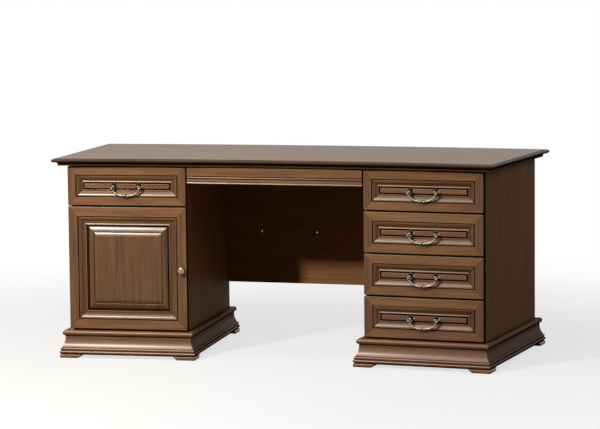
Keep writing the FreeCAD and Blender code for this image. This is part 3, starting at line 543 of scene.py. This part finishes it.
def buildFeet():
    shape = newShape()
    top, low = feet["length"], feet["length"] - feet["slant"]
    edge = plinth["reach"] - feet["setBack"]
    for place in pedestals.values():
        for side, end in ((0, 0), (1, 0), (1, 1), (0, 1)):
            x = plan["pedWidth"] + edge if side else -edge
            y = plan["pedDepth"] + edge if end else -edge
            dx, dy = (-1 if side else 1), (-1 if end else 1)
            corners = []
            for z, reach in ((0, low), (feet["height"], top)):
                corners += [(x, y, z), (x + dx * reach, y, z),
                            (x + dx * reach, y + dy * reach, z), (x, y + dy * reach, z)]
            corners = moved(corners, deskPlace.inverted() @ place)
            addBlock(shape, corners, feet["ease"], 0, feet["segments"])
    makePiece(shape, "feet", deskPlace)


def buildInnerBoards():
    front, rail = carcass["front"], carcass["rail"]
    rails = newShape()
    for place in pedestals.values():
        for y in (front, innerBack - rail):
            part = newShape()
            addBoard(part, (wall, y, levels["underTop"] - wall), (innerWidth, rail, wall),
                     carcass["railEase"], 0)
            joinShape(rails, part, deskPlace.inverted() @ place)
    makePiece(rails, "top_rails", deskPlace)
    shape = newShape()
    addBoard(shape, (wall + shelf["play"], front + shelf["setBack"], shelf["base"]),
             (innerWidth - 2 * shelf["play"], innerDepth - 2 * shelf["setBack"], wall), shelf["ease"], 0)
    makePiece(shape, "left_shelf", leftPlace)
    shape = newShape()
    revealMiddle = levels["frontBase"] + 3 * levels["pitch"] - levels["reveal"] / 2
    dividerBase = revealMiddle - wall / 2  # behind the reveal between drawer and door
    addBoard(shape, (wall, front, dividerBase), (innerWidth, innerDepth, wall), carcass["ease"], 0)
    makePiece(shape, "left_divider", leftPlace)


for pedestal, pedestalPlace in pedestals.items():
    buildCarcass(pedestal, pedestalPlace)
buildFeet()
buildInnerBoards()
print("carcasses done")

# Framed fronts. Across goes in from the frame's outer edge, and depth goes in from its face.
frontWidth = 460
mitreLine = {"gap": 0.12, "band": 1.3, "glaze": 0.6, "upright": 0.27}


# A flat, a quirk, a wide round falling to the panel, and a lip with its own quirk. The outer edges in the
# reveals, the quirks, the round, the line under the lip and the rebate behind it are darkened as painted
# shade.
def frameProfile(flat, moulding):
    member = flat + moulding
    return profilePoints([(0, 22, 0, 0), (0, 21, 0.5, 0), (0, 3.4, 0.8, 0), (0, 2, 0.55, 0.2), (-0.59, 4),
                          (2, 0, 0), (flat - 0.6, 0, 0), (flat, 0.2, 1), (flat + 1.2, 2.4, 1),
                          (flat + 1.9, 2.4, 1), (flat + 2.9, 1.2, 0.9), (flat + 3.5, 0.8, 0.1), (-1.8, 12),
                          (flat + 18.4, 8, 0.25), (member - 7.2, 8.4, 0.2), (member - 6.6, 8.7, 0.9),
                          (member - 6, 8.7, 0.7), (member - 5.5, 8.2, 0), (-0.3, 8), (member - 1.2, 6.8, 0),
                          (-0.35, 4), (member - 0.3, 7.4, 0), (member, 8, 0.7), (member, 10, 1),
                          (member, 20, 0.4), (member, 22, 0)])


def buildFrontFrame(node, place, width, height, flat, moulding):
    shape = newShape()
    addMitredRing(shape, frameProfile(flat, moulding), width, height, lambda a, b, d: (a, d, b), mitreLine)
    makePiece(shape, node, place)


# Panels: points along each side as shares of its length, painted shade on the corner lines, and a low
# smoothing angle that keeps those corners crisp. The groove round each panel and the door's slopes are
# darkened as painted shade, and the fields are drawn a little darker.
panel = {"shares": (0, 0.004, 0.25, 0.5, 0.75, 0.996), "cornerShade": 0.5, "smoothDegrees": 9}
drawerPanel = [(-7, 19, 0), (-7, 13, 0.4), (0, 13, 1), (3.9, 13, 1), (4.2, 11.6, 1), (4.7, 8, 1),
               (5, 6.2, 0.5), (-0.3, 4), (6.3, 5, 0.12), (8.9, 5, 0.12)]
doorPanel = [(-7, 19, 0), (-7, 13, 0.4), (5, 13, 1), (7.3, 13, 1), (7.5, 12.9, 1), (8, 12.7, 0.5), (-0.8, 12),
             (26.6, 7.3, 0.35), (27.2, 7.6, 0.9), (28.6, 8.4, 1), (29.4, 8.4, 0.8), (29.9, 8.2, 0.4),
             (-0.4, 8), (40.8, 5.2, 0.3), (41.3, 5.05, 0.36), (41.8, 5, 0.36)]


# Raised panel: rings of one profile from the tongue to the field, with the grain of a single board.
def buildFrontPanel(node, place, width, height, member, profile, axis):
    shape = newShape()
    offset = boardOffset()
    loops, grains, glazeAndShadeRows = [], [], []
    rings = profilePoints(profile)
    for ring in rings:
        inset, depth, glaze, _ = ring
        d = member + inset
        corners = [(d, d), (width - d, d), (width - d, height - d), (d, height - d)]
        loop = []
        for i, (a, b) in enumerate(corners):
            c, e = corners[(i + 1) % 4]
            loop += [(a + (c - a) * share, b + (e - b) * share) for share in panel["shares"]]
        loops.append([(a, depth, b) for a, b in loop])
        grains.append([offset + Vector((a, b, depth) if axis == 0 else (b, a, depth)) * mm for a, b in loop])
        # painted shade on the corner lines of every ring but the field
        mitred = glaze if ring is rings[-1] else min(1, glaze + panel["cornerShade"])
        glazeAndShadeRows.append(([mitred] + [glaze] * (len(panel["shares"]) - 1)) * 4)
    addLoops(shape, loops, glazeAndShadeRows, grains)
    makePiece(shape, node, place, panel["smoothDegrees"])


# Drawer boxes, with a slot along each side for its runner.
box = {"lift": 18, "topGap": 21, "depth": 600, "board": 15, "floor": 6, "left": 19, "width": 422,
       "round": 1.2, "slotDepth": 8, "slotBase": 72.7, "slotTop": 87.3, "slotShade": 0.35,
       "frontThick": 22, "boardEase": 1.0, "floorEase": 0.5}


def buildBox(name, place, height):
    shape = newShape()
    low, high = box["lift"] + box["floor"], height - box["topGap"]
    front, back = box["frontThick"], box["frontThick"] + box["depth"]
    thick, slot, soft = box["board"], box["slotDepth"], box["round"]
    outline = [(0, low), (0, box["slotBase"]), (slot, box["slotBase"]), (slot, box["slotTop"]),
               (0, box["slotTop"]), (0, high - soft), (soft, high), (thick - soft, high),
               (thick, high - soft), (thick, low)]
    # painted shade on the inner face of the runner slot
    profile = [(p, q, box["slotShade"] if p == slot else 0, 1.0) for p, q in outline]
    for x, flip in ((box["left"], 1), (box["left"] + box["width"], -1)):
        addExtrusion(shape, profile, front, back, lambda along, p, q: (x + flip * p, along, q))
    for y in (front, back - thick):
        addBoard(shape, (box["left"] + thick, y, low), (box["width"] - 2 * thick, thick, high - low),
                 box["boardEase"], 0)
    makePiece(shape, f"{name}_box", place)
    floor = newShape()
    addBoard(floor, (box["left"], front, box["lift"]), (box["width"], box["depth"], box["floor"]),
             box["floorEase"], 0)
    makePiece(floor, f"{name}_floor", place)


# Turns a profile of (radius, height, glaze) about the Y axis; height goes towards the front.
def addTurning(shape, profile, centre, segments):
    loops, glazeAndShadeRows = [], []
    for radius, height, glaze in profile:
        turns = [2 * math.pi * i / segments for i in range(segments)]
        loops.append([(centre[0] + radius * math.cos(turn), centre[1] - height,
                       centre[2] + radius * math.sin(turn)) for turn in turns])
        glazeAndShadeRows.append([glaze] * segments)
    addLoops(shape, loops, glazeAndShadeRows)


# What is left of a swelling at a distance from its middle.
def swell(away, width, power=2):
    return math.exp(-(away / width) ** power)


# Bail pulls: each post stands on a rosette, and the bail hangs between the posts.
pull = {"spacing": 96, "field": 5, "reach": 16}
post = {"segments": 28, "smoothDegrees": 50,
        "profile": [(3.4, 0.6, 1), (3.4, 6.0, 1), (3.0, 8.0, 1), (3.0, 10.6, 1), (4.1, 11.4, 0.9),
                    (4.8, 13.0, 0.8), (5.0, 15.0, 0.7), (5.0, 16.4, 0.6), (4.6, 18.4, 0.5), (3.6, 19.8, 0.4),
                    (2.2, 20.6, 0.3), (0.6, 20.9, 0.3)]}
rosette = {"wide": 15, "tall": 16.5, "rings": 14, "segments": 96, "inward": 0.86, "waist": 0.7,
           "longLeaf": 0.3, "shortLeaf": 0.14, "curve": 1.5, "rimAt": 0.74, "rimWidth": 0.16,
           "dishWidth": 0.5, "plate": 1.2, "rimRise": 2.6, "leafRise": 1.6, "dishDrop": 0.2,
           "leastGlaze": 0.05, "gapGlaze": 0.9}


# Back plate of two long and two short leaves round a dark dish, each leaf with a raised rib.
def addRosette(shape, centre):
    loops, glazeAndShadeRows = [], []
    for k in range(-1, rosette["rings"] + 1):  # the first ring lies on the panel's field
        share = 1 - max(k, 0) / rosette["rings"] * rosette["inward"]
        rim = swell(share - rosette["rimAt"], rosette["rimWidth"])
        dish = swell(share, rosette["dishWidth"], 4)
        loop, dark = [], []
        for i in range(rosette["segments"]):
            turn = 2 * math.pi * i / rosette["segments"]
            longLeaf = max(0.0, math.cos(2 * turn)) ** rosette["curve"]
            shortLeaf = max(0.0, -math.cos(2 * turn)) ** rosette["curve"]
            leaf = max(longLeaf, shortLeaf)
            tip = rosette["waist"] + rosette["longLeaf"] * longLeaf + rosette["shortLeaf"] * shortLeaf
            reach = share * (1 - (1 - tip) * share ** rosette["curve"])
            rise = (rosette["rimRise"] + rosette["leafRise"] * leaf) * rim
            height = 0.0 if k < 0 else rosette["plate"] + rise - rosette["dishDrop"] * dish
            loop.append((centre[0] + rosette["wide"] * reach * math.cos(turn), centre[1] - height,
                         centre[2] + rosette["tall"] * reach * math.sin(turn)))
            gap = rosette["gapGlaze"] * (1 - leaf) * (1 - rim)
            dark.append(1.0 if k < 0 else min(1.0, rosette["leastGlaze"] + gap + dish))
        loops.append(loop)
        glazeAndShadeRows.append(dark)
    addLoops(shape, loops, glazeAndShadeRows)


def buildPosts(name, place, height):
    shape = newShape()
    for side in (-1, 1):
        centre = (frontWidth / 2 + side * pull["spacing"] / 2, pull["field"], height / 2)
        addRosette(shape, centre)
        addTurning(shape, post["profile"], centre, post["segments"])
    makePiece(shape, f"{name}_pull_posts", place, post["smoothDegrees"])


# A smooth curve through all the points.
def smoothPath(points, perSpan):
    path = []
    padded = [points[0] * 2 - points[1]] + points + [points[-1] * 2 - points[-2]]
    for a, b, c, d in zip(padded, padded[1:], padded[2:], padded[3:]):
        for k in range(perSpan):
            t = k / perSpan
            path.append(0.5 * ((2 * b) + (c - a) * t + (2 * a - 5 * b + 4 * c - d) * t * t
                               + (3 * b - a - 3 * c + d) * t ** 3))
    path.append(points[-1])
    return path


# One arm of the bail from its eye to the middle, and what swells along the bar: rise, place, width.
bail = {"arm": [(53.6, 0.4), (55.6, -1.6), (55.2, -5.4), (52.4, -11.6), (48.6, -18), (42.6, -24.6),
                (34.4, -29.6), (25, -33), (12, -35.2)],
        "middle": (0, -35.5), "perSpan": 7, "segments": 18, "smoothDegrees": 60, "bar": 4.0,
        "fromEye": ((0.6, 22, 8), (0.5, 0, 3.2), (0.9, 10, 1.7), (0.9, 34, 1.7)), "middleSwell": (1.6, 13),
        "twistReach": 14, "twistDepth": 0.2, "twistRate": 0.42, "twistGlaze": 0.8, "throat": (0.7, 14, 2),
        "leastGlaze": 0.36, "underShade": 0.7,
        "pinRadius": 2.0, "pinFrom": -4.5, "pinTo": 6, "pinSegments": 16, "pinGlaze": 0.5}


# Bail: swells at the eyes, two leaf collars on each arm, a twisted bar in the middle, a pin into each post.
def buildBail(name, place, height):
    shape = newShape()
    middle = Vector((frontWidth / 2, pull["field"] - pull["reach"], height / 2))
    points = [Vector(p) for p in bail["arm"]] + [Vector(bail["middle"])]
    points += [Vector((-x, z)) for x, z in reversed(bail["arm"])]
    path = smoothPath(points, bail["perSpan"])
    runs = [0.0]
    for a, b in zip(path, path[1:]):
        runs.append(runs[-1] + (b - a).length)
    half = runs[-1] / 2
    loops, glazeAndShadeRows = [], []
    for i, (point, run) in enumerate(zip(path, runs)):
        ahead = path[min(i + 1, len(path) - 1)] - path[max(i - 1, 0)]
        normal = Vector((-ahead.y, ahead.x)).normalized()
        fromMiddle = abs(run - half)
        fromEye = min(run, 2 * half - run)
        bar = bail["bar"] + bail["middleSwell"][0] * swell(fromMiddle, bail["middleSwell"][1])
        bar += sum(rise * swell(fromEye - along, width) for rise, along, width in bail["fromEye"])
        twist = swell(fromMiddle, bail["twistReach"], 4)
        depth, along, width = bail["throat"]
        throat = depth * swell(fromEye - along, width)
        loop, dark = [], []
        for j in range(bail["segments"]):
            turn = 2 * math.pi * j / bail["segments"]
            rope = math.cos(2 * turn + (run - half) * bail["twistRate"])
            radius = bar * (1 + bail["twistDepth"] * twist * rope)
            x, z = point + normal * radius * math.cos(turn)
            loop.append((middle.x + x, middle.y - radius * math.sin(turn), middle.z + z))
            # painted shade: the underside of the bar is drawn darker
            shadeBelow = max(0, -normal.y * math.cos(turn))
            hollow = max(bail["twistGlaze"] * twist * max(0, -rope), throat)
            dark.append(min(1, bail["leastGlaze"] + bail["underShade"] * shadeBelow + hollow))
        loops.append(loop)
        glazeAndShadeRows.append(dark)
    addLoops(shape, loops, glazeAndShadeRows)
    turns = [2 * math.pi * j / bail["pinSegments"] for j in range(bail["pinSegments"])]
    for side in (-1, 1):
        rings = []
        for out in (bail["pinFrom"], bail["pinTo"]):
            x = middle.x + side * (pull["spacing"] / 2 + out)
            rings.append([(x, middle.y + bail["pinRadius"] * math.cos(turn),
                           middle.z + bail["pinRadius"] * math.sin(turn)) for turn in turns])
        addLoops(shape, rings, [[bail["pinGlaze"]] * len(turns)] * 2)
    makePiece(shape, f"{name}_bail", place, bail["smoothDegrees"])


# Drawers, runners and door. The two upper drawers reach to the reveal under the desktop.
drawerHeight = levels["pitch"] - levels["reveal"]
upperBase = levels["frontBase"] + 3 * levels["pitch"]
upperHeight = levels["underTop"] - levels["topReveal"] - upperBase
drawers = [("left_drawer", leftPlace, upperBase, upperHeight),
           ("right_drawer_1", rightPlace, upperBase, upperHeight)]
for number in (2, 3, 4):
    drawerBase = levels["frontBase"] + (4 - number) * levels["pitch"]
    drawers.append((f"right_drawer_{number}", rightPlace, drawerBase, drawerHeight))
frontGap = (plan["pedWidth"] - frontWidth) / 2
drawerFrame = {"opening": 28, "moulding": 28}
runner = {"wide": 9.5, "long": 645, "tall": 14, "front": 27, "rise": 73, "ease": 0.8}
door = {"height": 3 * levels["pitch"] - levels["reveal"], "flat": 36, "moulding": 33}
knob = {"place": (442, 0, 229), "segments": 40, "smoothDegrees": 50,
        "profile": [(9.0, 0, 0.9), (9.0, 1.4, 0.4), (8.2, 2.0, 0.3), (5.6, 2.6, 0.8), (4.9, 5, 0.6),
                    (4.7, 8, 0.5), (5.4, 10.2, 0.7), (9.4, 11.2, 0.5), (12.4, 12.8, 0.2), (13.8, 15.2, 0.1),
                    (14, 16.6, 0.1), (13.4, 19.4, 0.1), (11.4, 21.8, 0.1), (8.4, 23.2, 0.1), (5.4, 23.9, 0.1),
                    (2.6, 24.2, 0.05), (0.5, 24.3, 0.05)]}


def buildDrawers():
    runners = newShape()
    for name, pedestalPlace, base, height in drawers:
        place = pedestalPlace @ at(frontGap, 0, base)
        flat = (height - drawerFrame["opening"]) / 2 - drawerFrame["moulding"]
        member = flat + drawerFrame["moulding"]
        buildFrontFrame(f"{name}_front_frame", place, frontWidth, height, flat, drawerFrame["moulding"])
        buildFrontPanel(f"{name}_front_panel", place, frontWidth, height, member, drawerPanel, 0)
        buildBox(name, place, height)
        buildPosts(name, place, height)
        buildBail(name, place, height)
        for x in (wall, plan["pedWidth"] - wall - runner["wide"]):
            part = newShape()
            addBoard(part, (x, runner["front"], base + runner["rise"]),
                     (runner["wide"], runner["long"], runner["tall"]), runner["ease"], 1)
            joinShape(runners, part, deskPlace.inverted() @ pedestalPlace)
    makePiece(runners, "drawer_runners", deskPlace)


def buildDoor():
    place = leftPlace @ at(frontGap, 0, levels["frontBase"])
    member = door["flat"] + door["moulding"]
    buildFrontFrame("door_frame", place, frontWidth, door["height"], door["flat"], door["moulding"])
    buildFrontPanel("door_panel", place, frontWidth, door["height"], member, doorPanel, 1)
    shape = newShape()
    addTurning(shape, knob["profile"], knob["place"], knob["segments"])
    makePiece(shape, "door_knob", place, knob["smoothDegrees"])


buildDrawers()
buildDoor()
print("drawers and door done")

# Kneehole: modesty panel and its screws, and the tray with its fascia and hangers.
modesty = {"front": 661.797, "thick": 18, "low": 210.5, "ease": 0.8}
screw = {"x": (-252.8, -23.2), "z": 418.5, "segments": 24, "smoothDegrees": 40,
         "profile": [(2.2, -11.5, 0.6), (2.2, 0, 0.8), (5.0, 0, 0.7), (5.0, 0.6, 0.2), (4.6, 1.5, 0.1),
                     (3.4, 2.2, 0.1), (2.2, 2.5, 0.2), (1.9, 1.4, 0.9), (0.4, 1.2, 1.0)]}
tray = {"half": 280, "depth": 380, "thick": 16, "base": 672, "ease": 1.2}
hanger = {"inner": 292, "wide": 22, "front": 40, "long": 360, "ease": 1.0}
# The fascia's grooves, its top under the desktop and its underside are darkened as painted shade.
fascia = {"half": 339.5, "base": 666.5, "thick": 20, "endGlaze": 0.2,
          "profile": [(20, 0, 0.6), (1.2, 0, 0.3), (0.3, 0.4, 0), (0, 1.2, 0), (0.4, 4), (1.8, 6.2, 0),
                      (2.4, 6.6, 1), (2.4, 7.1, 1), (1.2, 7.5, 0.4), (1, 8.2, 0), (1, 17, 0),
                      (1.3, 17.5, 0.8), (2.6, 18.4, 1), (2.6, 19.8, 1), (1.2, 20.5, 0.8), (1, 21, 0),
                      (0.9, 6), (1, 25.5, 0), (1.3, 26, 0.8), (2.6, 26.8, 1), (2.6, 28.2, 1),
                      (0.3, 29, 0.8), (0, 29.6, 0), (0, 60.4, 0), (0.6, 61, 0.4), (20, 61, 1)]}


def buildKneehole():
    near, far = modesty["front"], modesty["front"] + modesty["thick"]
    halfNear = plan["kneeHalf"] + near * math.tan(splay)
    halfFar = plan["kneeHalf"] + far * math.tan(splay)
    corners = []
    for z in (modesty["low"], levels["underTop"]):
        corners += [(-halfNear, near, z), (halfNear, near, z), (halfFar, far, z), (-halfFar, far, z)]
    shape = newShape()
    addBlock(shape, corners, modesty["ease"], 0)
    makePiece(shape, "modesty_panel", deskPlace)

    shape = newShape()
    for x in screw["x"]:
        addTurning(shape, screw["profile"], (x, near, screw["z"]), screw["segments"])
    makePiece(shape, "modesty_screws", deskPlace, screw["smoothDegrees"])

    shape = newShape()
    addExtrusion(shape, profilePoints(fascia["profile"]), -fascia["half"], fascia["half"],
                 lambda along, p, q: (along, p, q + fascia["base"]), fascia["endGlaze"])
    makePiece(shape, "tray_fascia", deskPlace)
    shape = newShape()
    addBoard(shape, (-tray["half"], fascia["thick"], tray["base"]),
             (2 * tray["half"], tray["depth"], tray["thick"]), tray["ease"], 0)
    makePiece(shape, "tray_shelf", deskPlace)
    shape = newShape()
    for x in (hanger["inner"], -hanger["inner"] - hanger["wide"]):
        addBoard(shape, (x, hanger["front"], tray["base"]),
                 (hanger["wide"], hanger["long"], levels["underTop"] - tray["base"]), hanger["ease"], 1)
    makePiece(shape, "tray_hangers", deskPlace)


buildKneehole()
for node in ("top_screws", "left_hinge_plates", "left_shelf_pins", "tray_channels", "tray_slides"):
    metal = frame["nodes"][node]
    metal.data.materials.clear()
    metal.data.materials.append(materials["zinc_steel"])
print("kneehole done")

# Studio: a pale floor whose shadow fades out away from the desk, and five softboxes.
studio = {"floorSize": 200, "floorGrey": "#66635F", "floorWhite": "#F6F5F3", "shadowShare": 0.3,
          "shadowReach": (1.0, 3.2), "ambient": "#8E8A86", "ambientStrength": 0.06}
lamps = {"key": {"from": (-1.4, -2.95, 2.19), "to": (-1.2, -0.3, 0.4), "size": (0.2, 0.2),
                 "watts": 86, "colour": "#FFF6EA"},
         "front": {"from": (-0.4, -3.5, 3.7), "to": (-0.4, -0.3, 0.4), "size": (3.4, 0.5),
                   "watts": 39, "colour": "#FFFFFF"},
         "top": {"from": (-0.8, -1.3, 3.0), "to": (-0.4, -0.2, 0.4), "size": (3.0, 1.0),
                 "watts": 26, "colour": "#FFFFFF"},
         "side": {"from": (2.9, 0.5, 2.5), "to": (0.9, 0, 0.5), "size": (1.0, 1.0),
                  "watts": 7, "colour": "#FFFFFF"},
         "back": {"from": (0.5, 4.2, 3.4), "to": (0, 0.3, 0.4), "size": (2.5, 1.0),
                  "watts": 45, "colour": "#FFFFFF"}}


# White where the camera, a mirror or glass looks at it; a plain grey for the light that it gives back.
def isSeen(tree):
    path = addNode(tree, "ShaderNodeLightPath")
    seen = addNode(tree, "ShaderNodeMath", {"operation": "ADD"},
                   {0: path.outputs["Is Camera Ray"], 1: path.outputs["Is Glossy Ray"]})
    return addNode(tree, "ShaderNodeMath", {"operation": "ADD", "use_clamp": True},
                   {0: seen.outputs[0], 1: path.outputs["Is Transmission Ray"]}).outputs[0]


def buildWorld():
    world = bpy.data.worlds.new("studioWorld")
    world.use_nodes = True
    tree = world.node_tree
    tree.nodes.clear()
    white = addNode(tree, "ShaderNodeBackground", {"Color": (1, 1, 1, 1), "Strength": 1.0})
    dim = addNode(tree, "ShaderNodeBackground",
                  {"Color": linear(studio["ambient"]), "Strength": studio["ambientStrength"]})
    both = addNode(tree, "ShaderNodeMixShader",
                   links={0: isSeen(tree), 1: dim.outputs[0], 2: white.outputs[0]})
    addNode(tree, "ShaderNodeOutputWorld", links={"Surface": both.outputs[0]})
    bpy.context.scene.world = world


# Matt floor paint: glows white to the eye, apart from a share of real shading that holds the shadow.
def buildFloor():
    mesh = bpy.data.meshes.new("studioFloor")
    half = studio["floorSize"] / 2
    mesh.from_pydata([(-half, -half, 0), (half, -half, 0), (half, half, 0), (-half, half, 0)], [],
                     [(0, 1, 2, 3)])
    floor = bpy.data.objects.new("studioFloor", mesh)
    bpy.context.scene.collection.objects.link(floor)
    material, tree = newMaterial("paleFloorPaint")
    bounce = addNode(tree, "ShaderNodeBsdfDiffuse", {"Color": linear(studio["floorGrey"])})
    shadowed = addNode(tree, "ShaderNodeBsdfDiffuse", {"Color": linear(studio["floorWhite"])})
    glow = addNode(tree, "ShaderNodeEmission", {"Color": (1, 1, 1, 1), "Strength": 1.0})
    place = addNode(tree, "ShaderNodeTexCoord").outputs["Object"]
    away = addNode(tree, "ShaderNodeVectorMath", {"operation": "LENGTH"}, {0: place})
    near, far = studio["shadowReach"]
    shadow = addNode(tree, "ShaderNodeMapRange",
                     {"interpolation_type": "SMOOTHSTEP", "From Min": near, "From Max": far,
                      "To Min": studio["shadowShare"], "To Max": 0.0}, {"Value": away.outputs["Value"]})
    look = addNode(tree, "ShaderNodeMixShader",
                   links={0: shadow.outputs["Result"], 1: glow.outputs[0], 2: shadowed.outputs[0]})
    both = addNode(tree, "ShaderNodeMixShader",
                   links={0: isSeen(tree), 1: bounce.outputs[0], 2: look.outputs[0]})
    addNode(tree, "ShaderNodeOutputMaterial", links={"Surface": both.outputs[0]})
    mesh.materials.append(material)


def buildLamps():
    for name, lamp in lamps.items():
        data = bpy.data.lights.new(f"{name}Softbox", "AREA")
        data.shape = "RECTANGLE"
        data.size, data.size_y = lamp["size"]
        data.energy = lamp["watts"]
        data.color = linear(lamp["colour"])[:3]
        light = bpy.data.objects.new(data.name, data)
        light.location = lamp["from"]
        light.rotation_euler = (Vector(lamp["to"]) - Vector(lamp["from"])).to_track_quat("-Z", "Y").to_euler()
        light.visible_camera = False
        bpy.context.scene.collection.objects.link(light)


# Camera solved from the photograph's edges: 600 x 429 frame, long lens from the front right.
camera = {"place": (2.7025, -9.1493, 1.5194), "yaw": 16.408, "pitch": 5.956, "roll": -0.575,
          "lens": 150.0, "sensor": 36, "clipEnd": 100}


def buildCamera():
    data = bpy.data.cameras.new("photoCamera")
    data.lens = camera["lens"]
    data.sensor_width = camera["sensor"]
    data.clip_end = camera["clipEnd"]
    eye = bpy.data.objects.new("photoCamera", data)
    turn = Matrix.Rotation(math.radians(camera["yaw"]), 4, "Z")
    turn = turn @ Matrix.Rotation(math.radians(90 - camera["pitch"]), 4, "X")
    turn = turn @ Matrix.Rotation(math.radians(camera["roll"]), 4, "Z")
    eye.matrix_world = Matrix.Translation(camera["place"]) @ turn
    bpy.context.scene.collection.objects.link(eye)
    bpy.context.scene.camera = eye


buildWorld()
buildFloor()
buildLamps()
buildCamera()
bpy.context.scene.view_settings.view_transform = "Standard"
print("stage and camera done")
